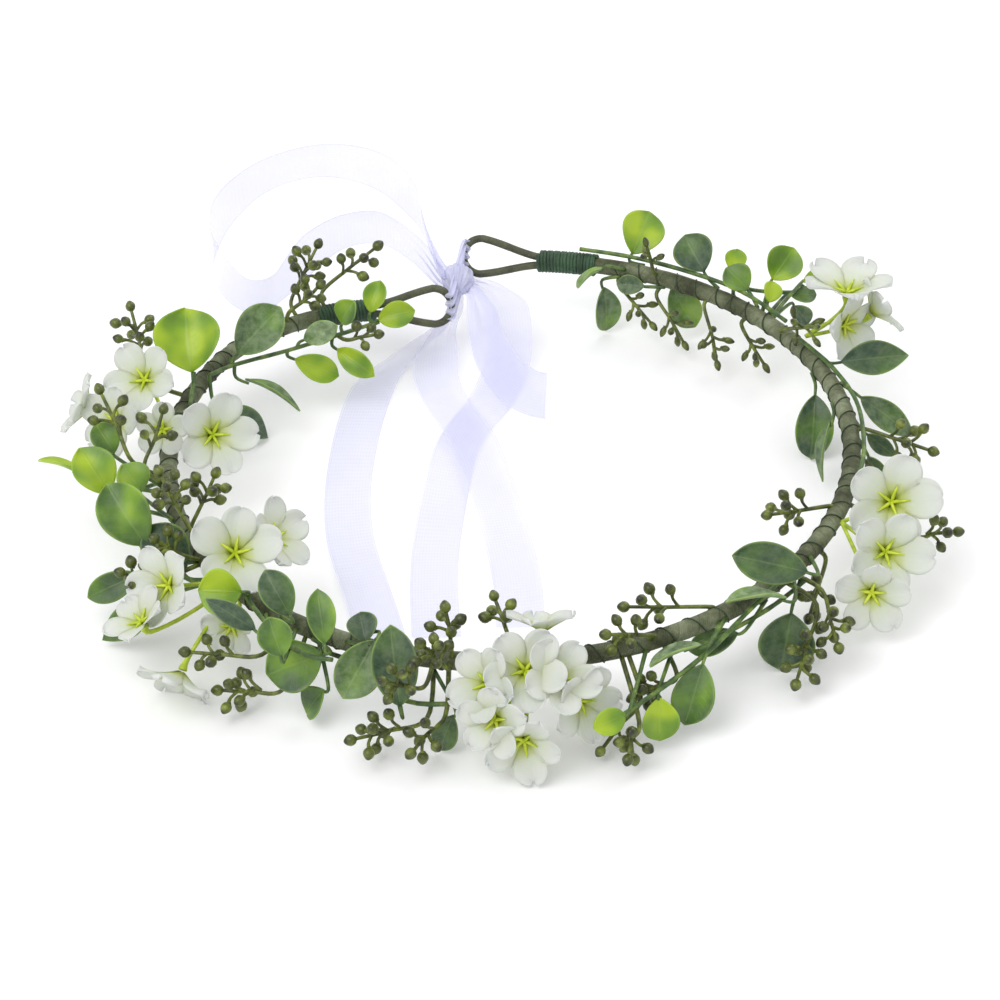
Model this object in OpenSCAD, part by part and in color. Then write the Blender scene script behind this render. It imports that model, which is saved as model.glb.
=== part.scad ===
// Flower crown: a wire ring bound in paper tape, open at the back, with leaf
// sprigs, berry sprays and clusters of white florets bound on all round, and a
// sheer ribbon tied through the wire loops at its two ends.
// It lies on a table. The origin is the ring's centre on the table, +Z is up
// and +Y points to the tie at the back.
// A place on the ring is [angle, out, up]: degrees anticlockwise from +X,
// millimetres outward from the ring's centreline, and millimetres above it.

/* [Ring] */
// Radius of the ring's centreline
ring_r = 92; // [84:1:112]
// Height of the ring's centreline above the table
stem_h = 19; // [19:1:24]
// Diameter of the core wire
core_d = 2; // [1.2:0.1:2.6]
// Diameter over the paper tape
stem_d = 4.8; // [4.2:0.1:6]
// Angle where the two halves of the ring flex
flex_at = 264; // [262:1:266]
// Angle where the right half ends
right_end = 83.5; // [80:0.5:86]
// Angle where the left half starts to bend inward
arm_at = 150; // [148:1:154]
// Radius of the left half's bend
arm_r = 56; // [52:1:64]
// Heading of the left half's end, from +X
arm_end = 96; // [92:1:104]
// Droop of the left half's bend, in degrees
arm_droop = 4; // [0:0.5:6]
// Gap between a wire and what holds it
wire_gap = 0.1; // [0.05:0.05:0.2]

/* [Wire ends] */
// Diameter of the loop wire
loop_d = 2.2; // [1.6:0.1:2.4]
// Reach of a wire loop past its collar
loop_len = 22; // [18:1:28]
// Width of a wire loop, centre to centre
loop_w = 10.4; // [9:0.2:13]
// Length of a bound collar
collar_len = 17; // [12:1:20]
// Thickness of the thread bound round a collar
collar_t = 0.8; // [0.6:0.1:1.2]
// Thickness of the binding wire
bind_d = 0.6; // [0.4:0.1:0.8]
// Angle between two turns of the binding wire
bind_step = 7; // [5:1:12]

/* [Leaves] */
// Thickness of a leaf at its middle
leaf_t = 0.8; // [0.6:0.1:1.2]
// Rise of a leaf's rim, as a slope
leaf_cup = 0.22; // [0:0.02:0.4]
// Diameter of a leaf's stalk
stalk_d = 1.2; // [0.9:0.1:1.6]

/* [Flowers] */
// Thickness of the petals
petal_t = 0.6; // [0.4:0.1:1]
// Rise of the petals from throat to rim, as a share of their reach
petal_dish = 0.3; // [0.1:0.05:0.5]
// Width of the star in a floret's throat
star_d = 3.4; // [2.6:0.2:4.4]
// Length of the calyx behind a floret
calyx_len = 3.6; // [2.4:0.2:5]
// Diameter of a flower stalk
pedicel_d = 1.2; // [0.9:0.1:1.6]

/* [Berries] */
// Diameter of a berry
berry_d = 3.2; // [2.6:0.1:3.8]
// Diameter of a berry twig
twig_d = 1.1; // [0.8:0.1:1.4]

/* [Ribbon] */
// Width of the ribbon
ribbon_w = 15; // [12:0.5:18]
// Thickness of the ribbon solids
ribbon_t = 0.6; // [0.5:0.1:0.8]
// Diameter of the knot
knot_d = 8; // [7:0.5:10]
// Length of the knot
knot_len = 7; // [5:0.5:9]

/* [Hidden] */
$fn = 24;

core_r = core_d / 2;
stem_r = stem_d / 2;
loop_r = loop_d / 2;
stalk_r = stalk_d / 2;
tube_sides = 6;
loop_sides = 10;
flex_gap = 0.2;                    // half the gap between the ring's two halves, degrees
swell = 1.12;                      // the wrap's swelling where the left half turns down
collar_turn = collar_len / ring_r * 180 / PI;
arm_collar_turn = collar_len / arm_r * 180 / PI;
loop_rise = 4;                     // climb of the right loop, degrees
loop_lean_right = -54;              // turn of the right loop about its own length, degrees
loop_lean_left = 54;              // turn of the left loop about its own length, degrees
golden = 137.5;                    // turn from one side twig to the next, degrees

// ---- vectors and places ----

function unit(v) = v / norm(v);
function mix(a, b, s) = a * (1 - s) + b * s;
// v turned about the unit axis k
function turned(v, k, a) = v * cos(a) + cross(k, v) * sin(a) + k * (k * v) * (1 - cos(a));
// heading from +X and climb above the table, as a direction
function heading(yaw, climb) = [cos(yaw) * cos(climb), sin(yaw) * cos(climb), sin(climb)];
// the direction square to d that looks most upward
function upward(d) = unit([0, 0, 1] - d * d[2]);
function at(p) = [(ring_r + p[1]) * cos(p[0]), (ring_r + p[1]) * sin(p[0]), stem_h + p[2]];
// a point on the left half's bend, before it droops
function bend_point(a) = at([arm_at, -arm_r, 0]) + arm_r * [cos(a), sin(a), 0];
function droop(p) =
    at([arm_at, 0, 0]) + turned(p - at([arm_at, 0, 0]), heading(arm_at, 0), arm_droop);
function loop_tip_left() =
    droop(bend_point(arm_end) + (loop_len + loop_r) * heading(arm_end - 90, 0));
function loop_tip_right() =
    at([right_end, 0, 0]) + (loop_len + loop_r) * heading(right_end + 90, loop_rise);
function knot_place() = mix(loop_tip_left(), loop_tip_right(), 0.5);

// ---- shapes ----

// A round tube through points, closed at both ends
module tube(points, r, sides) {
    n = len(points);
    dirs = [for (i = [0:n - 1]) unit(points[min(i + 1, n - 1)] - points[max(i - 1, 0)])];
    ref = abs(dirs[0][2]) > 0.9 ? [1, 0, 0] : [0, 0, 1];
    rim = [for (i = [0:n - 1])
        let (u = unit(cross(dirs[i], ref)), v = cross(u, dirs[i]))
        for (k = [0:sides - 1])
            points[i] + r * (cos(360 * k / sides) * u + sin(360 * k / sides) * v)];
    polyhedron(rim, concat(
        [[for (k = [sides - 1:-1:0]) k]],
        [for (i = [0:n - 2]) for (k = [0:sides - 1])
            [i * sides + k, i * sides + (k + 1) % sides,
             (i + 1) * sides + (k + 1) % sides, (i + 1) * sides + k]],
        [[for (k = [0:sides - 1]) (n - 1) * sides + k]]));
}

// A straight rod from a to b
module rod(a, b, r) {
    d = b - a;
    translate(a)
        rotate([0, acos(d[2] / norm(d)), atan2(d[1], d[0])])
            cylinder(h = norm(d), r = r, $fn = tube_sides);
}

// A flat strip through rows of [point, across], t thick and as wide as across is long
module strip(rows, t) {
    n = len(rows);
    corners = [for (i = [0:n - 1])
        let (d = unit(rows[min(i + 1, n - 1)][0] - rows[max(i - 1, 0)][0]),
             h = unit(cross(d, rows[i][1])) * t / 2,
             w = rows[i][1] / 2, p = rows[i][0])
        each [p - w - h, p + w - h, p + w + h, p - w + h]];
    polyhedron(corners, concat(
        [[0, 1, 2], [0, 2, 3]],
        [for (i = [0:n - 2]) for (k = [0:3])
            let (a = 4 * i + k, b = 4 * i + (k + 1) % 4)
            each [[a, a + 4, b + 4], [a, b + 4, b]]],
        [[4 * n - 1, 4 * n - 2, 4 * n - 3], [4 * n - 1, 4 * n - 3, 4 * n - 4]]));
}

// An arc of tube about the Z axis, from angle a to angle b
module arc_tube(r, outer, inner, a, b) {
    rotate([0, 0, a])
        rotate_extrude(angle = b - a, $fn = 96)
            translate([r, 0])
                difference() {
                    circle(r = outer);
                    if (inner > 0) circle(r = inner);
                }
}

module on_ring() {
    translate([0, 0, stem_h]) children();
}

// The left half's bend: its own circle, turned down a little about the radius at arm_at
module on_bend() {
    hub = at([arm_at, 0, 0]);
    translate(hub)
        rotate(a = arm_droop, v = heading(arm_at, 0))
            translate(at([arm_at, -arm_r, 0]) - hub)
                children();
}

// +X out of the ring's end, +Y across the wire loop
module at_right_end() {
    translate(at([right_end, 0, 0]))
        rotate([0, 0, right_end + 90])
            rotate([0, -loop_rise, 0])
                rotate([loop_lean_right, 0, 0])
                    children();
}

module at_left_end() {
    on_bend()
        rotate([0, 0, arm_end])
            translate([arm_r, 0, 0])
                rotate([0, 0, -90])
                    rotate([loop_lean_left, 0, 0])
                        children();
}

// ---- wire, tape and loops ----

// The left half's whole line, ring and bend, with a small swelling where it turns down
module left_line(r, trim) {
    on_ring() arc_tube(ring_r, r, 0, arm_at, flex_at - flex_gap + trim);
    on_bend() arc_tube(arm_r, r, 0, arm_end + arm_collar_turn / 2 - trim, arm_at);
    translate(at([arm_at, 0, 0])) sphere(r = r * swell);
}

module core_wire_left() {
    color("dimgray") left_line(core_r, 0);
}

module core_wire_right() {
    color("dimgray")
        on_ring() arc_tube(ring_r, core_r, 0, flex_at + flex_gap - 360, right_end - collar_turn / 2);
}

module stem_tape_left() {
    color("darkolivegreen")
        difference() {
            left_line(stem_r, 0);
            left_line(core_r + wire_gap, 1);
        }
}

module stem_tape_right() {
    bore = core_r + wire_gap;
    color("darkolivegreen")
        on_ring() arc_tube(ring_r, stem_r, bore, flex_at + flex_gap - 360,
                           right_end - collar_turn / 2);
}

// One turn of the binding wire, leaning along the stem
module binding_turn(a) {
    on_ring()
        rotate([0, 0, a])
            translate([ring_r, 0, 0])
                rotate([90, 0, 0])
                    rotate([0, 12, 0])
                        rotate_extrude()
                            translate([stem_r / cos(12) + bind_d / 2 + wire_gap, 0])
                                circle(d = bind_d, $fn = 16);
}

module binding_wire_left() {
    color("darkgreen")
        for (a = [arm_at + 4:bind_step:flex_at - 4]) binding_turn(a);
}

module binding_wire_right() {
    color("darkgreen")
        for (a = [flex_at + 5 - 360:bind_step:right_end - collar_turn - 2]) binding_turn(a);
}

// A teardrop eye of wire: two strands side by side leave the collar, part and
// join in a round end
module wire_loop() {
    tail = -collar_len / 4;
    near = loop_r + wire_gap / 2;
    far = loop_w / 2;
    straight = loop_len - far;
    side = [for (i = [0:8])
        let (s = i / 8, x = mix(tail, straight, s), o = max(0, x) / straight)
        [x, mix(near, far, sin(90 * o) ^ 2 * 0.4 + 0.6 * o), 0]];
    end = [for (k = [1:9]) [straight + far * sin(18 * k), far * cos(18 * k), 0]];
    back = [for (i = [8:-1:0]) [side[i][0], -side[i][1], 0]];
    tube(concat(side, end, back), loop_r, loop_sides);
}

module wire_loop_left() {
    color("darkslategray") at_left_end() wire_loop();
}

module wire_loop_right() {
    color("darkslategray") at_right_end() wire_loop();
}

// Thread bound over the end of the tape and the loop's two strands
module collar_left() {
    bore = stem_r + 2 * wire_gap;
    color("darkgreen")
        on_bend() arc_tube(arm_r, bore + collar_t, bore, arm_end, arm_end + arm_collar_turn);
}

module collar_right() {
    bore = stem_r + 2 * wire_gap;
    color("darkgreen")
        on_ring() arc_tube(ring_r, bore + collar_t, bore, right_end - collar_turn, right_end);
}

// ---- leaves ----
// A leaf is [its stalk's place, its tip's place, width, roll]. Roll 0 looks up.

leaf_outline = [[0, 0], [0.14, 0], [0.26, 0.72], [0.5, 1], [0.78, 0.8], [1, 0.12]];

module leaf(row) {
    a = at(row[0]);
    b = at(row[1]);
    d = unit(b - a);
    n = turned(upward(d), d, row[3]);
    across = cross(n, d);
    m = len(leaf_outline);
    corners = [for (o = leaf_outline)
        let (half = max(stalk_r, row[2] / 2 * o[1]),
             bow = n * norm(b - a) * 0.06 * sin(180 * o[0]),
             p = mix(a, b, o[0]) + bow,
             rim = n * leaf_cup * (half - stalk_r))
        each [p - across * half + rim, p - n * leaf_t / 2,
              p + across * half + rim, p + n * leaf_t / 2]];
    polyhedron(corners, concat(
        [[0, 1, 2], [0, 2, 3]],
        [for (i = [0:m - 2]) for (k = [0:3])
            let (e = 4 * i + k, f = 4 * i + (k + 1) % 4)
            each [[e, f + 4, f], [e, e + 4, f + 4]]],
        [[4 * m - 2, 4 * m - 3, 4 * m - 4], [4 * m - 1, 4 * m - 2, 4 * m - 4]]));
}

LEAVES_BACK_LEFT = [
    [[121, -19, 0], [112, -24, 3], 8, 50],
    [[122, -19, 2], [117, -15, 10], 7, 15],
    [[129, -18, 2], [126, -20, 10], 8, 33],
    [[139, -15, 2], [133, -23, 7], 7, 56],
    [[152, -5, 3], [141, -12, 14], 13, 39],
    [[142, -14, -1], [135, -25, -8], 8, 55],
    [[133, -20, -1], [130, -34, -6], 7, 46],
    [[153, -7, -1], [151, -26, -8], 8, -31],
    [[160, -5, -3], [154, -17, -18.6], 8, 50],
    [[162, -1, 5], [154, 6, 20], 19, -6]];
LEAVES_LEFT = [
    [[185, 13, 7], [182, 18, 15], 8, -21],
    [[193, 16, 4], [188, 22, 16], 12, -15],
    [[186, 21, 2], [183, 34, 6], 7, 29],
    [[195, 8, 6], [192, 12, 14], 10, -14],
    [[206, 12, 2], [198, 18, 17], 14, -32],
    [[210, 5, -4], [203.5, 11, 8], 13, -33],
    [[205, 13, -4], [203, 29, -10], 8, -55],
    [[211, 13, -5], [208, 30, -16], 9, -50]];
LEAVES_FRONT_LEFT = [
    [[227, 6, 9], [222, 15, 10], 12, -54],
    [[235, 5, 5], [229, 3, 16], 9, -25],
    [[232, 11, 3], [225, 17, 12], 6, -44],
    [[241, 4, -1], [234, 15, -6], 14, -52],
    [[238, 17, 3], [235, 14, 13], 9, -19],
    [[243, 12, 6], [240, 5, 19], 7.5, -1],
    [[247, 3, 3], [244, -3, 8], 8, -9],
    [[242, 9, -8], [239, 12, -17], 9, -30],
    [[248, -1, 5], [245.5, 13, -7], 12, -36],
    [[254, 13, -9], [251, 4, 12], 12, -12],
    [[261, 9, -8], [259, 13, -18.5], 7, -35]];
LEAVES_FRONT_RIGHT = [
    [[284, 19, -4], [279, 22, -5], 7, -53],
    [[289, 14, -4], [288, 19, -16], 10, -12],
    [[297, 11, 0], [292, 17, -15], 11, -24],
    [[298, 10, 2], [289, 8, -1], 8, 27],
    [[307, 4, -5], [299, -3, -10], 7, -50],
    [[313, 11, 3], [304, 2, 6], 9, 26],
    [[316, 6, -4], [311, 10, -18.6], 15, -18],
    [[318, 11, 6], [309, -5, 12], 11, -53]];
LEAVES_RIGHT = [
    [[17, -3, -2], [9, -8, -18.6], 11, -13],
    [[6, -3, 0], [359, -8, -15], 7, 59],
    [[18, 2, 3], [16, 24, 3], 10, 50],
    [[11, 4, 1], [7, 20, -12], 8, 53],
    [[3, 4, -3], [1, 13, -10], 5, 58],
    [[357, 4, -3], [356, 8, -12], 6, 55],
    [[345, 23, -7], [347, 17, -1], 5, -40]];
LEAVES_BACK_RIGHT = [
    [[67, 2, 2], [66, 15, 12], 13, 29],
    [[70, -4, 3], [75, -11, -1], 7, 30],
    [[71, -4, -2], [70, -6, -18.6], 9, -9],
    [[62, -3, -2], [68, -5, -2], 6, -51],
    [[52, 3, 3], [58, 7, 12], 12, -30],
    [[60, 3, -3], [54, 2, -15], 10, 37],
    [[49, 9, 2], [51, 15, 7], 6.5, 9],
    [[43, 4, 3], [48, 3, 9], 9, -30],
    [[42, 10, 4], [42, 20, 12], 11, 38],
    [[39, 4, 2], [41, 10, 6], 6, 31],
    [[40, 19, 2], [40, 27, 2], 4, 49],
    [[41, 15, -1], [39, 24, -3], 5, 56],
    [[40, 15, -3], [38, 19, -10], 6, 59]];

module leaves(rows) {
    for (row = rows) leaf(row);
}

module leaves_back_left() { color("yellowgreen") leaves(LEAVES_BACK_LEFT); }
module leaves_left() { color("olivedrab") leaves(LEAVES_LEFT); }
module leaves_front_left() { color("yellowgreen") leaves(LEAVES_FRONT_LEFT); }
module leaves_front_right() { color("olivedrab") leaves(LEAVES_FRONT_RIGHT); }
module leaves_right() { color("darkseagreen") leaves(LEAVES_RIGHT); }
module leaves_back_right() { color("yellowgreen") leaves(LEAVES_BACK_RIGHT); }

// ---- leaf stems ----
// Each sprig's main stem is a route of places bound along the ring, and each leaf's
// stalk is joined to the stem a few degrees back.

module sprig_stem(route) {
    tube([for (p = route) at(p)], stalk_r, tube_sides);
}

// A side stem from the ring to where a leaf's stalk starts
module side_stem(row, back) {
    away = heading(row[0][0], 0) * row[0][1] + [0, 0, row[0][2]];
    rod(at([row[0][0] + back, 0, 0]) + unit(away) * stem_r, at(row[0]), stalk_r);
}

STEMS_BACK_LEFT = [
    [[158, -3, 3.6], [152, -6, 2], [142, -14, 1], [132, -19, 1], [120, -20, 0]],
    [[168, -3, 3.6], [162, -1, 4.5], [160, 0, 6]]];
STEMS_LEFT = [
    [[184, 3, -3.6], [189, 12, 1], [186, 21, 1]],
    [[222, 3, -3.6], [214, 6, -1], [206, 12, 1], [193, 16, 3]]];
STEMS_FRONT_LEFT = [
    [[224, 3, 3.6], [232, 8, 3], [239, 12, 3], [244, 12, 4]],
    [[236, 2, -4], [246, 3, -4], [254, 9, -7], [262, 9, -6]]];
STEMS_FRONT_RIGHT = [
    [[318, 3, 3.6], [308, 5, 2.5], [298, 10, 0], [290, 14, -3], [283, 18, -6]],
    [[322, 3, -3.6], [314, 3, -3.6], [305, 3, -3.6], [296, 3, -3.6]]];
STEMS_RIGHT = [
    [[26, -1, 4.2], [16, 1, 4.2], [6, 3, 3.6], [356, 3, 3.6], [348, 3, 3.6], [341, 2, 3.8]],
    [[344, 4, -1], [346, 14, -6], [345, 23, -7]]];
STEMS_BACK_RIGHT = [
    [[76, 1, 4.4], [66, 1, 4.2], [55, 1, 4.2], [44, 2, 4], [32, 1, 4]],
    [[48, 3, 3], [43, 8, 2], [40, 17, 0], [40, 20, 1]]];

module leaf_stems_back_left() {
    color("seagreen") for (r = STEMS_BACK_LEFT) sprig_stem(r);
}

module leaf_stems_left() {
    color("seagreen") {
        for (r = STEMS_LEFT) sprig_stem(r);
        for (row = LEAVES_LEFT) side_stem(row, 4);
    }
}

module leaf_stems_front_left() {
    color("seagreen") {
        for (r = STEMS_FRONT_LEFT) sprig_stem(r);
        for (row = LEAVES_FRONT_LEFT) side_stem(row, -4);
    }
}

module leaf_stems_front_right() {
    color("seagreen") {
        for (r = STEMS_FRONT_RIGHT) sprig_stem(r);
        for (row = LEAVES_FRONT_RIGHT) side_stem(row, 6);
    }
}

module leaf_stems_right() {
    color("seagreen") {
        for (r = STEMS_RIGHT) sprig_stem(r);
        for (row = LEAVES_RIGHT) side_stem(row, 3);
    }
}

module leaf_stems_back_right() {
    color("seagreen") {
        for (r = STEMS_BACK_RIGHT) sprig_stem(r);
        for (row = LEAVES_BACK_RIGHT) side_stem(row, -3);
    }
}

// ---- berry sprays ----
// A spray is [its foot's place, its head's place, number of berries, spread].

// Where side twig i leaves the main twig, and where its berry sits
function twig_foot(row, i) = mix(at(row[0]), at(row[1]), 0.45 + 0.5 * i / row[2]);
function twig_end(row, i) =
    let (d = unit(at(row[1]) - at(row[0])),
         u = turned(upward(d), d, golden * i),
         reach = row[3] * (0.9 + 0.1 * cos(200 * i)))
    twig_foot(row, i) + u * reach + d * row[3] * 0.5;

// Where the berry at the head of the spray sits
function spray_end(row) =
    at(row[1]) + unit(at(row[1]) - at(row[0])) * (row[3] * 0.5 + berry_d * 0.4);

module berries(rows) {
    for (row = rows) {
        for (i = [0:row[2] - 1]) translate(twig_end(row, i)) sphere(d = berry_d);
        translate(spray_end(row)) sphere(d = berry_d);
    }
}

module berry_twigs(rows) {
    for (row = rows) {
        d = unit(at(row[1]) - at(row[0]));
        rod(at(row[0]), spray_end(row) - d * (berry_d / 2 - 0.2), twig_d / 2);
        for (i = [0:row[2] - 1]) {
            a = twig_foot(row, i);
            b = twig_end(row, i);
            rod(a, b - unit(b - a) * (berry_d / 2 - 0.2), twig_d * 0.36);
        }
    }
}

BERRIES_BACK_LEFT = [
    [[131, 1, 3], [125, 3, 13], 8, 5.5],
    [[125, -1, 3], [115.5, -2, 11], 5, 5],
    [[134, -4, 4], [130, -7, 9], 6, 4.5],
    [[131, -22, 1], [127, -28, 3], 3, 3.5],
    [[163, 12, 5], [157, 20, 16], 8, 5.5]];
BERRIES_LEFT = [
    [[187, 9, 8], [181, 15, 20], 5, 5.5],
    [[189, 6, 8], [185, 1, 17], 3, 5.5],
    [[209, 2, 8], [204, 5, 20], 7, 5.2],
    [[203, -2, 5], [201, -8, 12], 7, 5],
    [[210, 6, 4], [209, 10, 8], 5, 4.5],
    [[210, 15, -1], [209, 20, 2], 4, 4.2]];
BERRIES_FRONT_LEFT = [
    [[232, 12, -3], [225.5, 22, -2], 5, 4],
    [[236, 13, -10], [229.5, 19, -12], 8, 5],
    [[257, 11, 0], [254, 19, 7], 6, 4.5],
    [[260, 6, 2], [257.5, 8, 9], 6, 4.5],
    [[260, 1, 3], [259, -3, 10], 5, 4.5],
    [[257, 10, -11], [250, 20, -11], 8, 4.8],
    [[260, 13, -7], [257.5, 22, -9], 5, 4.5]];
BERRIES_FRONT_RIGHT = [
    [[269, -3, 3], [267, -10, 9], 5, 4.2],
    [[287, 11, -8], [281.5, 17, -14], 4, 4.2],
    [[293, 9, -6], [288, 9, -8], 6, 4.2],
    [[291, 3, 4], [285, 4, 8], 5, 4.5],
    [[285.5, 18, -9], [283.5, 24, -11.5], 5, 4.2],
    [[303, -2, 2], [292, -9, 4], 6, 5.5],
    [[318, 11, -4], [309.5, 19, -12], 8, 4.5],
    [[320, 10, -2], [316.5, 19, -8], 7, 4.5]];
BERRIES_RIGHT = [
    [[328, 3, -4], [320, 7, -9], 5, 4.2],
    [[337, -2, 2], [331, -12, 3], 7, 5.5],
    [[0, 4, 1], [356, 18, 0], 7, 5.5],
    [[341, 19, -8], [342, 27, -7], 4, 4.5],
    [[355, 4, -4], [353, 12, -12], 4, 4.5]];
BERRIES_BACK_RIGHT = [
    [[31, -2, 3], [21, -2, 13], 5, 5],
    [[68, -3, -3], [61, -8, -9], 5, 4.5],
    [[60, -4, -4], [53, -9, -11], 5, 4.5],
    [[50, -3, -3], [43.5, -10, -11], 6, 4.8],
    [[41, -3, -3], [36, -3, -10], 5, 4.5],
    [[61, -3, 4], [62, -3, 10], 3, 3.5]];

module berries_back_left() { color("olive") berries(BERRIES_BACK_LEFT); }
module berries_left() { color("olive") berries(BERRIES_LEFT); }
module berries_front_left() { color("olive") berries(BERRIES_FRONT_LEFT); }
module berries_front_right() { color("olive") berries(BERRIES_FRONT_RIGHT); }
module berries_right() { color("olive") berries(BERRIES_RIGHT); }
module berries_back_right() { color("olive") berries(BERRIES_BACK_RIGHT); }
module berry_twigs_back_left() { color("darkolivegreen") berry_twigs(BERRIES_BACK_LEFT); }
module berry_twigs_left() { color("darkolivegreen") berry_twigs(BERRIES_LEFT); }
module berry_twigs_front_left() { color("darkolivegreen") berry_twigs(BERRIES_FRONT_LEFT); }
module berry_twigs_front_right() { color("darkolivegreen") berry_twigs(BERRIES_FRONT_RIGHT); }
module berry_twigs_right() { color("darkolivegreen") berry_twigs(BERRIES_RIGHT); }
module berry_twigs_back_right() { color("darkolivegreen") berry_twigs(BERRIES_BACK_RIGHT); }

// ---- flowers ----
// A floret is [place, heading it faces, climb it faces, diameter, spin]. A cluster's
// florets stand on stalks from one foot on the ring.

petal_count = 5;
petal_steps = 4;                   // rim points to a petal

// The corolla: five round petals in one sheet, dished towards the front
module corolla(dia) {
    n = petal_count * petal_steps;
    reach = [0.94, 1, 0.94, 0.62];
    rim = [for (k = [0:n - 1])
        let (a = 360 * k / n, r = dia / 2 * reach[k % petal_steps])
        [r * cos(a), r * sin(a), petal_dish * dia / 2]];
    mid = [for (p = rim) [p[0] * 0.45, p[1] * 0.45, p[2] * 0.7]];
    front = concat(mid, rim, [[0, 0, 0]]);
    back = [for (p = front) p - [0, 0, petal_t]];
    m = 2 * n + 1;
    polyhedron(concat(front, back), concat(
        [for (k = [0:n - 1]) [2 * n, (k + 1) % n, k]],
        [for (k = [0:n - 1]) let (j = (k + 1) % n) each [[k, j, n + j], [k, n + j, n + k]]],
        [for (k = [0:n - 1]) [m + 2 * n, m + k, m + (k + 1) % n]],
        [for (k = [0:n - 1]) let (j = (k + 1) % n)
            each [[m + k, m + n + j, m + j], [m + k, m + n + k, m + n + j]]],
        [for (k = [0:n - 1]) let (j = (k + 1) % n)
            each [[n + k, n + j, m + n + j], [n + k, m + n + j, m + n + k]]]));
}

module face_out(row) {
    translate(at(row[0]))
        rotate([0, 90 - row[2], row[1]])
            rotate([0, 0, row[4]])
                children();
}

// The star in the throat and the calyx behind, one moulding pressed through the corolla
module flower_centre() {
    star = star_d / 2;
    rotate_extrude()
        polygon([[0, 1.6], [star * 0.4, 1.4], [star, 1.1], [star * 0.7, 0.5],
                 [pedicel_d / 2, 0.1], [pedicel_d / 2, -petal_t - 0.1], [star * 0.8, -petal_t - 0.4],
                 [star * 0.6, -calyx_len * 0.6], [pedicel_d / 2, -calyx_len], [0, -calyx_len]]);
}

module petals(rows) {
    for (row = rows) face_out(row) corolla(row[3]);
}

module flower_centres(rows) {
    for (row = rows) face_out(row) flower_centre();
}

module flower_stalks(rows, foot) {
    for (row = rows) rod(at(foot), at(row[0]) - heading(row[1], row[2]) * calyx_len, pedicel_d / 2);
}

FLORETS_BACK_LEFT = [
    [[168, 9, 11], 250, 50, 18, 10],
    [[175, 14, 6], 230, 30, 17, 40],
    [[179, -12, 6], 300, 30, 20, 0],
    [[172, 23, 6], 175, 25, 16, 20],
    [[179, 1, 8], 270, 40, 13, 30]];
FLORETS_FRONT_LEFT = [
    [[218, -2, 9], 280, 45, 20, 18],
    [[215, -16, 4], 340, 40, 17, 0],
    [[215, 15, 4], 225, 30, 18, 10],
    [[223, 24, -10], 240, -35, 17, 30],
    [[224, 8, -3], 250, 10, 13, 50],
    [[216, 25, -2], 190, 60, 15, 0]];
FLORETS_FRONT = [
    [[274, 2, 11], 90, 60, 15, 18],
    [[271, 11, 6], 270, 45, 18, 0],
    [[266, 12, 3], 235, 35, 16, 20],
    [[267, 18, -3], 245, 20, 16, 40],
    [[275, 12, 4], 300, 45, 17, 54],
    [[270.5, 20, -8], 265, 0, 17, 10],
    [[278, 13, -3], 305, 15, 17, 0]];
FLORETS_RIGHT = [
    [[338, 14, 6], 268, 38, 22, 18],
    [[331, 17, 0], 285, 30, 19, 0],
    [[326, 18, -6], 270, 10, 17, 30]];
FLORETS_BACK_RIGHT = [
    [[26, 14, 14], 60, 80, 21, 0],
    [[24, 11, 7], 315, 10, 17, 30],
    [[24, 20, 8], 20, 30, 16, 10]];
FOOT_BACK_LEFT = [175, 0, 3.2];
FOOT_FRONT_LEFT = [220, 0, 3.2];
FOOT_FRONT = [272, 3, 1.5];
FOOT_RIGHT = [334, 3, 1.5];
FOOT_BACK_RIGHT = [27, 2, 3];

module petals_back_left() { color("ivory") petals(FLORETS_BACK_LEFT); }
module petals_front_left() { color("ivory") petals(FLORETS_FRONT_LEFT); }
module petals_front() { color("ivory") petals(FLORETS_FRONT); }
module petals_right() { color("ivory") petals(FLORETS_RIGHT); }
module petals_back_right() { color("ivory") petals(FLORETS_BACK_RIGHT); }
module flower_centres_back_left() { color("khaki") flower_centres(FLORETS_BACK_LEFT); }
module flower_centres_front_left() { color("khaki") flower_centres(FLORETS_FRONT_LEFT); }
module flower_centres_front() { color("khaki") flower_centres(FLORETS_FRONT); }
module flower_centres_right() { color("khaki") flower_centres(FLORETS_RIGHT); }
module flower_centres_back_right() { color("khaki") flower_centres(FLORETS_BACK_RIGHT); }
module flower_stalks_back_left() {
    color("olivedrab") flower_stalks(FLORETS_BACK_LEFT, FOOT_BACK_LEFT);
}
module flower_stalks_front_left() {
    color("olivedrab") flower_stalks(FLORETS_FRONT_LEFT, FOOT_FRONT_LEFT);
}
module flower_stalks_front() {
    color("olivedrab") flower_stalks(FLORETS_FRONT, FOOT_FRONT);
}
module flower_stalks_right() {
    color("olivedrab") flower_stalks(FLORETS_RIGHT, FOOT_RIGHT);
}
module flower_stalks_back_right() {
    color("olivedrab") flower_stalks(FLORETS_BACK_RIGHT, FOOT_BACK_RIGHT);
}

// ---- ribbon ----
// A ribbon row is [x, y, up, heading, climb, spread]: x and y from the knot, up as a
// share of the knot's height above the table, the direction across the ribbon, and how
// much of its width is spread open there.

module ribbon(rows, t) {
    k = knot_place();
    rest = t / 2;
    strip([for (r = rows)
        [[k[0] + r[0], k[1] + r[1], rest + r[2] * (k[2] - rest)],
         ribbon_w * r[5] * heading(r[3], r[4])]],
        t);
}

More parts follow.
